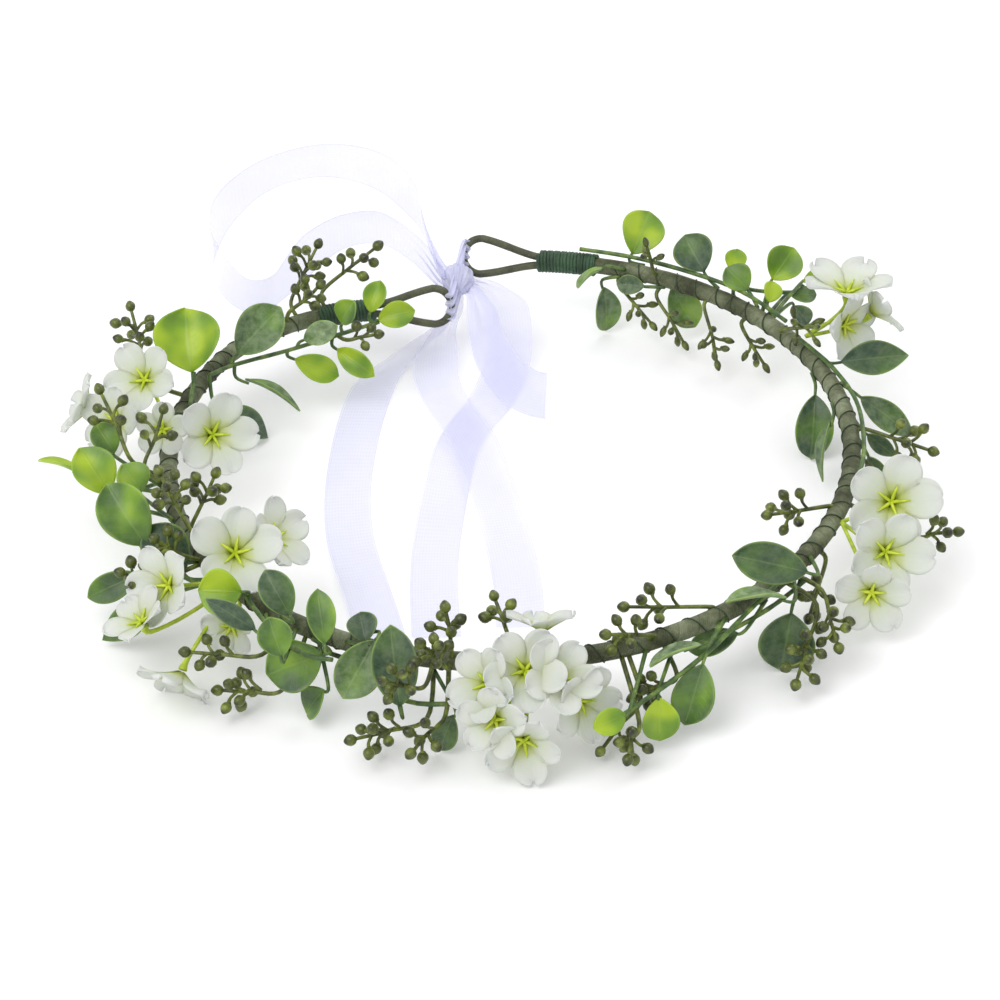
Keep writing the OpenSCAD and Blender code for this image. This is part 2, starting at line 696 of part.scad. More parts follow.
TAIL_LEFT = [
    [-2, -3, 0.59, 60, 0, 0.3], [-4, -5, 0.43, 50, 0, 0.55], [-9, -9, 0.26, 35, 0, 0.85],
    [-16, -15, 0.14, 25, 0, 0.85], [-24, -26, 0.04, 10, 0, 0.85], [-29, -48, 0, -6, 0, 0.85],
    [-31.5, -76, 0, -2, 0, 0.85], [-30.5, -100, 0, 6, 0, 0.85], [-26, -122, 0, 16, 0, 0.85],
    [-23, -136, 0, 14, 0, 0.85], [-21, -148, 0, 12, 0, 0.85]];
TAIL_MIDDLE = [
    [4.8, 2, 0.85, 0, 30, 0.3], [9, 2, 0.68, 0, 15, 0.6], [13, -1.5, 0.54, 0, 5, 0.85],
    [14.5, -9, 0.4, -3, 0, 0.85], [14, -20, 0.16, -8, 0, 0.85], [9, -36, 0.03, -20, 0, 0.85],
    [2, -50, 0, -28, 0, 0.85], [-2, -62, 0, -22, 0, 0.85], [-5, -82, 0, -12, 0, 0.85],
    [-7.5, -106, 0, -6, 0, 0.85], [-8, -124, 0, 0, 0, 0.85], [-7.5, -143, 0, 0, 0, 0.85]];
TAIL_RIGHT = [
    [-1, -5.2, 0.57, 20, 0, 0.35], [-5, -10, 0.34, 20, 0, 0.6], [-7, -18, 0.18, 10, 0, 0.85],
    [-7, -28, 0.13, 0, 0, 0.85], [-4, -40, 0.12, 20, 0, 0.85], [0, -50, 0.12, 22, 0, 0.85],
    [3.5, -60, 0.12, 20, 0, 0.85], [7, -76, 0.11, 14, 0, 0.85], [10, -92, 0.1, 10, 0, 0.85],
    [12.5, -108, 0.05, 8, 0, 0.85], [14, -122, 0.01, 4, 0, 0.85], [14.5, -140, 0, 0, 0, 0.85]];
BOW_LEFT = [
    [-4.6, 2.5, 1.1, 0, 90, 0.35], [-8, 14, 1.25, 0, 90, 0.7], [-12, 32, 1.4, 0, 90, 0.85],
    [-23, 49, 1.45, 0, 90, 0.85], [-40, 58, 1.4, 0, 90, 0.85], [-57, 56, 1.25, 0, 90, 0.85],
    [-69, 46, 1, 0, 90, 0.85], [-73, 32, 0.8, 0, 90, 0.85], [-70, 18, 0.65, 0, 90, 0.85],
    [-63, 8, 0.55, 0, 90, 0.85], [-56, 8, 0.55, 0, 90, 0.85], [-50, 16, 0.65, 0, 90, 0.85],
    [-43, 24, 0.8, 0, 90, 0.85], [-33, 30, 0.95, 0, 90, 0.85], [-22, 28, 1.05, 0, 90, 0.85],
    [-12, 15, 1.05, 0, 90, 0.6], [-4.8, -1, 1, 0, 90, 0.35]];
BOW_RIGHT = [
    [4.2, -3.6, 0.88, 34, 38, 0.3], [5.6, -9, 0.76, 32, 38, 0.55], [7.2, -16, 0.61, 30, 38, 0.8],
    [9, -25, 0.52, 36, 38, 0.85], [14, -37, 0.43, 50, 44, 0.85], [19, -44, 0.44, 65, 50, 0.85],
    [24, -47, 0.45, 79, 54, 0.85]];

module ribbon_tail_left() { color("ghostwhite") ribbon(TAIL_LEFT, ribbon_t); }
module ribbon_tail_middle() { color("ghostwhite") ribbon(TAIL_MIDDLE, ribbon_t); }
module ribbon_tail_right() { color("ghostwhite") ribbon(TAIL_RIGHT, ribbon_t); }
module bow_loop_left() { color("ghostwhite") ribbon(BOW_LEFT, ribbon_t); }
module bow_loop_right() { color("lavender") ribbon(BOW_RIGHT, 3 * ribbon_t); }

// The knot: a barrel of gathered ribbon between the two wire loops
module ribbon_knot() {
    axis = loop_tip_right() - loop_tip_left();
    r = knot_d / 2;
    h = knot_len / 2;
    color("ghostwhite")
        translate(knot_place())
            rotate([0, acos(axis[2] / norm(axis)), atan2(axis[1], axis[0])])
                rotate_extrude()
                    polygon([[0, -h], [r * 0.62, -h], [r * 0.9, -h * 0.6], [r, 0],
                             [r * 0.9, h * 0.6], [r * 0.62, h], [0, h]]);
}

// The gathered ribbon where it passes through a wire loop and back
module sling() {
    r = loop_r + wire_gap + ribbon_t;
    c = loop_len;
    rows = concat(
        [[[c + 3, 0, r], [0, 3.4, 0]]],
        [for (k = [0:6]) [[c - r * sin(30 * k), 0, r * cos(30 * k)], [0, 3.4, 0]]],
        [[[c + 3, 0, -r], [0, 3.4, 0]]]);
    strip(rows, ribbon_t);
}

module ribbon_sling_left() { color("lavender") at_left_end() sling(); }
module ribbon_sling_right() { color("lavender") at_right_end() sling(); }

core_wire_left();
core_wire_right();
stem_tape_left();
stem_tape_right();
binding_wire_left();
binding_wire_right();
wire_loop_left();
wire_loop_right();
collar_left();
collar_right();
leaves_back_left();
leaves_left();
leaves_front_left();
leaves_front_right();
leaves_right();
leaves_back_right();
leaf_stems_back_left();
leaf_stems_left();
leaf_stems_front_left();
leaf_stems_front_right();
leaf_stems_right();
leaf_stems_back_right();
berries_back_left();
berries_left();
berries_front_left();
berries_front_right();
berries_right();
berries_back_right();
berry_twigs_back_left();
berry_twigs_left();
berry_twigs_front_left();
berry_twigs_front_right();
berry_twigs_right();
berry_twigs_back_right();
petals_back_left();
petals_front_left();
petals_front();
petals_right();
petals_back_right();
flower_centres_back_left();
flower_centres_front_left();
flower_centres_front();
flower_centres_right();
flower_centres_back_right();
flower_stalks_back_left();
flower_stalks_front_left();
flower_stalks_front();
flower_stalks_right();
flower_stalks_back_right();
ribbon_knot();
ribbon_sling_left();
ribbon_sling_right();
bow_loop_left();
bow_loop_right();
ribbon_tail_left();
ribbon_tail_middle();
ribbon_tail_right();
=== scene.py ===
"""A flower crown: a bound wire ring with leaf sprigs, berry sprays and white blossom,
open at the back and tied with a sheer ribbon. Everything is built in metres around the
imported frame, from the wire outwards: stem, wire loops, leaves, berries, blossom, ribbon.
"""

import math

import bmesh
import bpy
from mathutils import Matrix, Vector, noise
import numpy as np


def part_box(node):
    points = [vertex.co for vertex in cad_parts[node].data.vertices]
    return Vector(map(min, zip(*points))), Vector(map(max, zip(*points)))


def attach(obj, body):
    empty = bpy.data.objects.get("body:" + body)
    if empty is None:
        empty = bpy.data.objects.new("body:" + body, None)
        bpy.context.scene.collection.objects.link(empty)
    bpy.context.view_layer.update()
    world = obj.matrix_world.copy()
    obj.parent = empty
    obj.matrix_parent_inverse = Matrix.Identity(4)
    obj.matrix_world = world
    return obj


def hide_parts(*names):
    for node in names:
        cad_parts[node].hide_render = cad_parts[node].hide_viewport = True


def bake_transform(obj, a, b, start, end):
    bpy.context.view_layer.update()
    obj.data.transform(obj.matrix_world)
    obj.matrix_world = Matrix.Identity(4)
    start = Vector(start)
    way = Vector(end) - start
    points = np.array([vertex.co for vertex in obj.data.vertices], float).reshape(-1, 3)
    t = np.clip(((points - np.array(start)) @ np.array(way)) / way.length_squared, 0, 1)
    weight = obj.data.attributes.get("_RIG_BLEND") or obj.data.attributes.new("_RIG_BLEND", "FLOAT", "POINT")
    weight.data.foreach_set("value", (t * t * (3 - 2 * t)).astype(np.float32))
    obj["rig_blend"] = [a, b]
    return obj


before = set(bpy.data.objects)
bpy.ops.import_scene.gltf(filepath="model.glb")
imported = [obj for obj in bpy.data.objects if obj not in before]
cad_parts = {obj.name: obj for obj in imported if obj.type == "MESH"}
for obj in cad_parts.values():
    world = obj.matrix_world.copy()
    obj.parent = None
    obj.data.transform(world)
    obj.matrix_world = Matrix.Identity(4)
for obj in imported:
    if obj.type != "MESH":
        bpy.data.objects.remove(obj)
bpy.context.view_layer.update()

MM = 0.001
noise.seed_set(1)                  # without it every run draws other leaves and petals

# ---------------------------------------------------------------- places on the ring

tape_low, tape_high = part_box("stem_tape_right")
STEM_R = (tape_high.z - tape_low.z) / 2
RING_R = tape_high.x - STEM_R
STEM_H = (tape_high.z + tape_low.z) / 2
KNOT = sum(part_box("ribbon_knot"), Vector()) / 2
FLEX_AT = 264                      # where the ring's two halves meet, degrees
FLEX_REACH = 9 * MM                # how far to each side of there the tape bends
RIGHT_END = 83.5                   # where the right half's collar ends, degrees
ARM_AT, ARM_R, ARM_END, ARM_DROOP = 150, 56 * MM, 96, 4
COLLAR_LEN = 17 * MM
BINDER_R, BINDER_PITCH = 0.21 * MM, 6.6 * MM
EYE_CLIMB = 4                      # how steeply the right wire eye leaves the stem, degrees
LOOP_LEN, LOOP_W, LOOP_R = 22 * MM, 10.4 * MM, 1.1 * MM
LOOP_LEAN = 54                     # each wire eye is turned this far about its length, degrees
GOLDEN = 137.5                     # turn from one side twig to the next, degrees
BERRY_R = 1.6 * MM
RIBBON_W = 15 * MM
LAID_SHARE = 0.85                  # how much of its width the ribbon shows where it lies
ROW_STEPS = 8                      # points between two rows of a ribbon's table
INSIDE = 0.3                       # a ribbon starts at this share of its first row's place
PLEAT = 1.5 * MM                   # how far the ribbon's pleats rise at the knot
# each piece's middle keeps half its thickness and a little more above the table
LOWEST_LEAF, LOWEST_PETAL, LOWEST_RIBBON = 0.5 * MM, 0.4 * MM, 0.12 * MM


def at(place):
    """A place on the ring: its angle in degrees, then how far out and up in millimetres."""
    angle, out, up = place
    turn = math.radians(angle)
    reach = RING_R + out * MM
    return Vector((reach * math.cos(turn), reach * math.sin(turn), STEM_H + up * MM))


def heading(yaw, climb):
    """The direction that faces yaw degrees round from +X and climb degrees up."""
    yaw, climb = math.radians(yaw), math.radians(climb)
    level = math.cos(climb)
    return Vector((math.cos(yaw) * level, math.sin(yaw) * level, math.sin(climb)))


def upward(along):
    """The direction square to along that looks most upward."""
    return (Vector((0, 0, 1)) - along * along.z).normalized()


def turned(direction, axis, degrees):
    """A direction turned about an axis."""
    return Matrix.Rotation(math.radians(degrees), 3, axis) @ direction


def wander(place, size):
    """A steady pseudo-random offset for a place, each way up to about size."""
    return noise.noise_vector(place * 371.0) * size


def through(points, steps):
    """Points on a smooth line through the given ones, steps to each span."""
    line = []
    last = len(points) - 1
    for i in range(last):
        before, start = points[max(i - 1, 0)], points[i]
        end, after = points[i + 1], points[min(i + 2, last)]
        for k in range(steps):
            s = k / steps
            line.append(
                0.5 * (2 * start + (end - before) * s
                       + (2 * before - 5 * start + 4 * end - after) * s * s
                       + (3 * start - before - 3 * end + after) * s ** 3))
    line.append(points[last])
    return line


# ---------------------------------------------------------------- colours and nodes


def linear(code):
    """An sRGB hex colour as linear RGBA."""
    channels = [int(code[i:i + 2], 16) / 255 for i in (1, 3, 5)]
    return [c / 12.92 if c <= 0.04045 else ((c + 0.055) / 1.055) ** 2.4 for c in channels] + [1.0]


def add(tree, kind, inputs=None, **settings):
    """Adds one node with its own settings. An input is fed by a socket, by another node's
    first output, or is set to a value."""
    made = tree.nodes.new("ShaderNode" + kind)
    for name, value in settings.items():
        setattr(made, name, value)
    for name, value in (inputs or {}).items():
        if isinstance(value, bpy.types.Node):
            value = value.outputs[0]
        if isinstance(value, bpy.types.NodeSocket):
            tree.links.new(value, made.inputs[name])
        else:
            made.inputs[name].default_value = value
    return made


def shaded(ramp, stops):
    """Sets a colour ramp's stops, each a place and a hex colour."""
    elements = ramp.color_ramp.elements
    while len(elements) < len(stops):
        elements.new(1.0)
    for element, (place, code) in zip(elements, stops):
        element.position = place
        element.color = linear(code)
    return ramp


def finish_of(name):
    """A new material and its empty node tree."""
    made = bpy.data.materials.new(name)
    made.use_nodes = True
    made.node_tree.nodes.clear()
    return made, made.node_tree


def leaf_plastic():
    """Soft polyethylene leaves, injection moulded and sprayed: lime to blue-green in
    clouds, a paler rim that is a painted highlight, raised veins and a waxy bloom that dulls the sheen."""
    made, tree = finish_of("leaf_soft_plastic")
    look = add(tree, "SeparateColor", {0: add(tree, "Attribute", attribute_name="look")})
    blade = add(tree, "SeparateXYZ", {0: add(tree, "UVMap", uv_map="blade")})
    along = blade.outputs["X"]
    side = add(tree, "Math", {0: blade.outputs["Y"], 1: 0.5}, operation="SUBTRACT")
    away = add(tree, "Math", {0: side}, operation="ABSOLUTE")
    across = add(tree, "Math", {0: away, 1: 2.0}, operation="MULTIPLY")
    spot = add(tree, "TexCoord").outputs["Object"]
    # clouds about 10 mm across, and a bloom about 2 mm across
    clouds = add(tree, "TexNoise", {"Vector": spot, "Scale": 95, "Detail": 1.5, "Roughness": 0.45})
    mist = add(tree, "TexNoise", {"Vector": spot, "Scale": 420, "Detail": 4, "Roughness": 0.65})
    # side veins, ten to a blade, that lean forward from the midrib
    lean = add(tree, "Math", {0: across, 1: -2.2, 2: 0.0}, operation="MULTIPLY_ADD")
    beat = add(tree, "Math", {0: along, 1: 10.0, 2: lean}, operation="MULTIPLY_ADD")
    beat = add(tree, "Math", {0: beat, 1: math.pi}, operation="MULTIPLY")
    wave = add(tree, "Math", {0: beat}, operation="SINE")
    near = add(tree, "Math", {0: wave}, operation="ABSOLUTE")
    veins = add(tree, "MapRange", {0: near, 1: 0.0, 2: 0.22, 3: 1.0, 4: 0.0}, interpolation_type="SMOOTHSTEP")
    midrib = add(tree, "MapRange", {0: across, 1: 0.0, 2: 0.09, 3: 1.0, 4: 0.0},
                 interpolation_type="SMOOTHSTEP")
    veins = add(tree, "Math", {0: veins, 1: 0.45}, operation="MULTIPLY")
    ribs = add(tree, "Math", {0: veins, 1: midrib}, operation="MAXIMUM")
    # the blade's edge, where a painted highlight goes
    rim_side = add(tree, "MapRange", {0: across, 1: 0.86, 2: 1.0}, interpolation_type="SMOOTHSTEP")
    rim_end = add(tree, "MapRange", {0: along, 1: 0.93, 2: 1.0}, interpolation_type="SMOOTHSTEP")
    rim = add(tree, "Math", {0: rim_side, 1: rim_end}, operation="MAXIMUM")
    shade = add(tree, "Math", {0: clouds, 1: 1.6, 2: -0.8}, operation="MULTIPLY_ADD")
    shade = add(tree, "Math", {0: shade, 1: look.outputs["Red"]})
    colour = shaded(add(tree, "ValToRGB", {0: shade}), [
        (0.0, "#1F3D2A"), (0.2, "#2D4B20"), (0.42, "#426614"), (0.68, "#6D930E"), (0.95, "#A0B915")])
    dust = add(tree, "MapRange", {0: mist, 1: 0.2, 2: 0.85}, interpolation_type="SMOOTHSTEP")
    fog = add(tree, "Math", {0: dust, 1: look.outputs["Green"]}, operation="MULTIPLY")
    colour = add(tree, "Mix", {0: fog, 6: colour, 7: linear("#93A67E")}, data_type="RGBA").outputs[2]
    pale = add(tree, "Math", {0: ribs, 1: 0.16}, operation="MULTIPLY")
    colour = add(tree, "Mix", {0: pale, 6: colour, 7: linear("#9DB16C")}, data_type="RGBA").outputs[2]
    # painted highlight: the rim is mixed towards a lighter green
    painted_rim_highlight = add(tree, "Math", {0: rim, 1: 0.36}, operation="MULTIPLY")
    colour = add(tree, "Mix", {0: painted_rim_highlight, 6: colour, 7: linear("#9BB84C")}, data_type="RGBA").outputs[2]
    dull = add(tree, "Math", {0: fog, 1: 0.5, 2: 0.34}, operation="MULTIPLY_ADD")
    height = add(tree, "Math", {0: mist, 1: 0.25, 2: ribs}, operation="MULTIPLY_ADD")
    bump = add(tree, "Bump", {"Strength": 0.5, "Distance": 0.12 * MM, "Height": height})
    surface = add(tree, "BsdfPrincipled", {
        "Base Color": colour, "Roughness": dull, "Normal": bump, "IOR": 1.5, "Subsurface Weight": 0.2,
        "Subsurface Radius": (0.4, 0.8, 0.1), "Subsurface Scale": 1.0 * MM})
    add(tree, "OutputMaterial", {"Surface": surface})
    return made


def sprig_plastic(name, dark, mid, light, roughness):
    """Moulded polyethylene twigs and stalks: one green, mottled every 3 mm, satin."""
    made, tree = finish_of(name)
    spot = add(tree, "TexCoord").outputs["Object"]
    mottle = add(tree, "TexNoise", {"Vector": spot, "Scale": 330, "Detail": 3, "Roughness": 0.6})
    grain = add(tree, "TexNoise", {"Vector": spot, "Scale": 1500, "Detail": 2})
    colour = shaded(add(tree, "ValToRGB", {0: mottle}), [(0.3, dark), (0.5, mid), (0.72, light)])
    bump = add(tree, "Bump", {"Strength": 0.35, "Distance": 0.1 * MM, "Height": grain})
    surface = add(tree, "BsdfPrincipled", {"Base Color": colour, "Normal": bump, "Roughness": roughness})
    add(tree, "OutputMaterial", {"Surface": surface})
    return made


def berry_plastic():
    """Foam-filled berries dipped in gloss lacquer: olive green, mottled every 4 mm, darker
    at the tip."""
    made, tree = finish_of("berry_lacquered")
    tip = add(tree, "Attribute", attribute_name="tip")
    spot = add(tree, "TexCoord").outputs["Object"]
    mottle = add(tree, "TexNoise", {"Vector": spot, "Scale": 260, "Detail": 3})
    shade = add(tree, "Math", {0: mottle, 1: 0.9, 2: -0.2}, operation="MULTIPLY_ADD")
    shade = add(tree, "Math", {0: shade, 1: tip.outputs["Fac"]}, operation="SUBTRACT")
    colour = shaded(add(tree, "ValToRGB", {0: shade}), [
        (0.0, "#262A10"), (0.14, "#3E4617"), (0.3, "#586422"), (0.5, "#86943C")])
    surface = add(tree, "BsdfPrincipled", {"Base Color": colour, "Roughness": 0.3})
    add(tree, "OutputMaterial", {"Surface": surface})
    return made


def crepe_tape():
    """Waxed crepe paper tape, stretched and wound on at a slant: overlaps every 6 mm,
    fine creases along the winding, grey-green with browner wax."""
    made, tree = finish_of("crepe_paper_tape")
    wrap = add(tree, "SeparateXYZ", {0: add(tree, "Attribute", attribute_name="wrap").outputs["Vector"]})
    round_it = add(tree, "Math", {0: wrap.outputs["Z"], 1: wrap.outputs["Y"]}, operation="ARCTAN2")
    turns = add(tree, "Math", {0: round_it, 1: 2 * math.pi}, operation="DIVIDE")
    lap = add(tree, "Math", {0: wrap.outputs["X"], 1: 1 / 6.0, 2: turns}, operation="MULTIPLY_ADD")
    part = add(tree, "Math", {0: lap}, operation="FRACT")
    edge = add(tree, "MapRange", {0: part, 1: 0.0, 2: 0.12, 3: 1.0, 4: 0.0}, interpolation_type="SMOOTHSTEP")
    spot = add(tree, "TexCoord").outputs["Object"]
    crease = add(tree, "Math", {0: lap, 1: 60.0}, operation="MULTIPLY")
    crease = add(tree, "Math", {0: crease}, operation="SINE")
    fibre = add(tree, "TexNoise", {"Vector": spot, "Scale": 900, "Detail": 5, "Roughness": 0.7})
    wax = add(tree, "TexNoise", {"Vector": spot, "Scale": 120, "Detail": 2})
    tone = add(tree, "Math", {0: fibre, 1: 0.4, 2: wax}, operation="MULTIPLY_ADD")
    tone = add(tree, "Math", {0: edge, 1: -0.1, 2: tone}, operation="MULTIPLY_ADD")
    colour = shaded(add(tree, "ValToRGB", {0: tone}), [
        (0.45, "#2F321C"), (0.62, "#4B5136"), (0.8, "#6C7356"), (0.95, "#878E73")])
    height = add(tree, "Math", {0: crease, 1: 0.25, 2: fibre}, operation="MULTIPLY_ADD")
    height = add(tree, "Math", {0: part, 1: 0.6, 2: height}, operation="MULTIPLY_ADD")
    bump = add(tree, "Bump", {"Strength": 0.7, "Distance": 0.25 * MM, "Height": height})
    surface = add(tree, "BsdfPrincipled", {"Base Color": colour, "Normal": bump, "Roughness": 0.72})
    add(tree, "OutputMaterial", {"Surface": surface})
    return made


def bound_thread(name, dark, light, roughness):
    """Twisted thread or covered wire: fibres every 0.6 mm, slightly fuzzy, so no gloss."""
    made, tree = finish_of(name)
    spot = add(tree, "TexCoord").outputs["Object"]
    fibre = add(tree, "TexNoise", {"Vector": spot, "Scale": 1600, "Detail": 4, "Roughness": 0.7})
    patch = add(tree, "TexNoise", {"Vector": spot, "Scale": 160, "Detail": 2})
    tone = add(tree, "Math", {0: fibre, 1: 0.6, 2: patch}, operation="MULTIPLY_ADD")
    colour = shaded(add(tree, "ValToRGB", {0: tone}), [(0.55, dark), (1.0, light)])
    bump = add(tree, "Bump", {"Strength": 0.5, "Distance": 0.12 * MM, "Height": fibre})
    surface = add(tree, "BsdfPrincipled", {"Base Color": colour, "Normal": bump, "Roughness": roughness})
    add(tree, "OutputMaterial", {"Surface": surface})
    return made


def petal_cloth():
    """Hot-pressed polyester petals: ivory white and slightly see-through, with a
    yellow-green flush at the throat and faint pressed veins that fan out."""
    made, tree = finish_of("petal_pressed_polyester")
    petal = add(tree, "SeparateXYZ", {0: add(tree, "UVMap", uv_map="petal")})
    spot = add(tree, "TexCoord").outputs["Object"]
    weave = add(tree, "TexNoise", {"Vector": spot, "Scale": 1400, "Detail": 3})
    flush = add(tree, "TexNoise", {"Vector": spot, "Scale": 240, "Detail": 2})
    reach = add(tree, "Math", {0: flush, 1: 0.14, 2: petal.outputs["X"]}, operation="MULTIPLY_ADD")
    colour = shaded(add(tree, "ValToRGB", {0: reach}), [
        (0.12, "#BCC93C"), (0.2, "#D3DB94"), (0.32, "#E0E5D2"), (0.55, "#E5E8E1"), (1.0, "#E8EAE8")])
    fan = add(tree, "Math", {0: petal.outputs["Y"], 1: 44.0}, operation="MULTIPLY")
    fan = add(tree, "Math", {0: fan}, operation="SINE")
    height = add(tree, "Math", {0: fan, 1: 0.3, 2: weave}, operation="MULTIPLY_ADD")
    bump = add(tree, "Bump", {"Strength": 0.35, "Distance": 0.1 * MM, "Height": height})
    surface = add(tree, "BsdfPrincipled", {
        "Base Color": colour, "Normal": bump, "Roughness": 0.6, "Sheen Weight": 0.2})
    glow = add(tree, "BsdfTranslucent", {"Color": colour, "Normal": bump})
    both = add(tree, "MixShader", {0: 0.38, 1: surface, 2: glow})
    add(tree, "OutputMaterial", {"Surface": both})
    return made


def throat_plastic():
    """The moulded throat star: yellow-green, mottled every 2 mm, satin."""
    made, tree = finish_of("throat_soft_plastic")
    spot = add(tree, "TexCoord").outputs["Object"]
    mottle = add(tree, "TexNoise", {"Vector": spot, "Scale": 500, "Detail": 2})
    colour = shaded(add(tree, "ValToRGB", {0: mottle}), [(0.35, "#A8BE1C"), (0.65, "#D3DE45")])
    surface = add(tree, "BsdfPrincipled", {"Base Color": colour, "Roughness": 0.45})
    add(tree, "OutputMaterial", {"Surface": surface})
    return made


def organza(name, colour_code, cover, hem_cover):
    """Sheer polyester organza: stiff fine yarns that let light through, a closer woven
    hem down each side, and crossing yarns. They are drawn every 0.8 mm across the ribbon
    and about every millimetre along a tail, coarser than the real 0.2 mm, so that they show."""
    made, tree = finish_of(name)
    cloth = add(tree, "SeparateXYZ", {0: add(tree, "UVMap", uv_map="cloth")})
    side = add(tree, "Math", {0: cloth.outputs["Y"], 1: 0.5}, operation="SUBTRACT")
    away = add(tree, "Math", {0: side}, operation="ABSOLUTE")
    hem = add(tree, "MapRange", {0: away, 1: 0.455, 2: 0.475}, interpolation_type="SMOOTHSTEP")
    warp = add(tree, "Math", {0: cloth.outputs["Y"], 1: 100.0}, operation="MULTIPLY")
    warp = add(tree, "Math", {0: warp}, operation="SINE")
    weft = add(tree, "Math", {0: cloth.outputs["X"], 1: 1150.0}, operation="MULTIPLY")
    weft = add(tree, "Math", {0: weft}, operation="SINE")
    yarns = add(tree, "Math", {0: warp, 1: weft}, operation="MAXIMUM")
    spot = add(tree, "TexCoord").outputs["Object"]
    cloud = add(tree, "TexNoise", {"Vector": spot, "Scale": 60, "Detail": 3})
    veil = add(tree, "Math", {0: yarns, 1: 0.02, 2: cover}, operation="MULTIPLY_ADD")
    veil = add(tree, "Math", {0: cloud, 1: 0.12, 2: veil}, operation="MULTIPLY_ADD")
    alpha = add(tree, "Mix", {0: hem, 2: veil, 3: hem_cover}, data_type="FLOAT")
    bump = add(tree, "Bump", {"Strength": 0.08, "Distance": 0.05 * MM, "Height": yarns})
    tint = add(tree, "Mix", {0: cloud, 6: linear(colour_code), 7: linear("#DEDEFA")},
               data_type="RGBA").outputs[2]
    surface = add(tree, "BsdfPrincipled", {
        "Base Color": tint, "Alpha": alpha, "Normal": bump, "Roughness": 0.5, "Sheen Weight": 0.3})
    add(tree, "OutputMaterial", {"Surface": surface})
    return made


LEAF = leaf_plastic()
STALK = sprig_plastic("stalk_green_plastic", "#2B431F", "#47632B", "#788F3C", 0.45)
TWIG = sprig_plastic("twig_olive_plastic", "#2F3612", "#4F5A1C", "#7C8832", 0.42)
PEDICEL = sprig_plastic("pedicel_lime_plastic", "#8BA021", "#A9BE2C", "#C9D94E", 0.45)
BERRY = berry_plastic()
TAPE = crepe_tape()
THREAD = bound_thread("collar_waxed_thread", "#16281A", "#3B5C3E", 0.6)
BINDER = bound_thread("binding_enamelled_wire", "#1A2614", "#38482A", 0.45)
LOOP_WIRE = bound_thread("loop_paper_wire", "#2B2D20", "#5B5F45", 0.65)
PETAL = petal_cloth()
THROAT = throat_plastic()
ORGANZA = organza("organza_sheer", "#CBCBF1", 0.3, 0.52)
ORGANZA_BOW = organza("organza_bow", "#B2B2E0", 0.36, 0.58)
ORGANZA_DOUBLED = organza("organza_doubled", "#C2C3F2", 0.44, 0.64)
ORGANZA_GATHERED = organza("organza_gathered", "#C6C8E6", 0.6, 0.78)

# ---------------------------------------------------------------- making pieces


def from_bmesh(name, shape):
    """A finished mesh made of a bmesh, which is let go."""
    mesh = bpy.data.meshes.new(name)
    shape.to_mesh(mesh)
    shape.free()
    return mesh


def piece(name, shape, material, nodes, body=None):
    """Puts a mesh or a bmesh in the scene, standing for those CAD nodes. It rides on a body
    when one is given."""
    mesh = shape if isinstance(shape, bpy.types.Mesh) else from_bmesh(name, shape)
    made = bpy.data.objects.new(name + "_shown", mesh)
    bpy.context.scene.collection.objects.link(made)
    mesh.materials.append(material)
    mesh.shade_smooth()
    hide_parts(*nodes)
    if body:
        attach(made, body)
    return made


def round_lines(name, lines, detail):
    """Round wires, twigs and stalks as one mesh. Each line is its points and its radius at
    each point, in metres; detail 1 makes it six-sided, 2 eight-sided, and so on."""
    curve = bpy.data.curves.new(name, "CURVE")
    curve.dimensions = "3D"
    curve.bevel_depth = 1.0
    curve.bevel_resolution = detail
    curve.use_fill_caps = True
    for points, radii in lines:
        spline = curve.splines.new("POLY")
        spline.points.add(len(points) - 1)
        for made, place, radius in zip(spline.points, points, radii):
            made.co = (*place, 1.0)
            made.radius = radius
    drawn = bpy.data.objects.new(name, curve)
    mesh = bpy.data.meshes.new_from_object(drawn)
    bpy.data.objects.remove(drawn)
    bpy.data.curves.remove(curve)
    shape = bmesh.new()
    shape.from_mesh(mesh)
    bmesh.ops.remove_doubles(shape, verts=shape.verts, dist=0.01 * MM)
    bmesh.ops.recalc_face_normals(shape, faces=shape.faces)
    shape.to_mesh(mesh)
    shape.free()
    return mesh


# ---------------------------------------------------------------- stem, binding and loops


def bend_place(angle):
    """A point on the left half's bend, which droops where it leaves the ring."""
    hub = at((ARM_AT, 0, 0))
    turn = math.radians(angle)
    flat = at((ARM_AT, -ARM_R / MM, 0)) + ARM_R * Vector((math.cos(turn), math.sin(turn), 0))
    return hub + turned(flat - hub, heading(ARM_AT, 0), ARM_DROOP)


def ring_line(start, end, steps):
    """Points on the ring's middle, from one angle to another."""
    return [at((start + (end - start) * k / steps, 0, 0)) for k in range(steps + 1)]


def bend_line(start, end, steps):
    """Points on the left bend's middle, from one angle to another."""
    return [bend_place(start + (end - start) * k / steps) for k in range(steps + 1)]


collar_turn = math.degrees(COLLAR_LEN / RING_R)
arm_collar_turn = math.degrees(COLLAR_LEN / ARM_R)
right_line = ring_line(RIGHT_END - collar_turn / 2, FLEX_AT - 360, 150)
left_line = ring_line(FLEX_AT, ARM_AT, 100) + bend_line(ARM_AT, ARM_END + arm_collar_turn / 2, 30)[1:]


def lengths(line):
    """How far along a line each of its points lies."""
    total, so_far = 0.0, [0.0]
    for a, b in zip(line, line[1:]):
        total += (b - a).length
        so_far.append(total)
    return so_far


def ahead_of(line, k):
    """The direction of a line at its point number k."""
    return (line[min(k + 1, len(line) - 1)] - line[max(k - 1, 0)]).normalized()


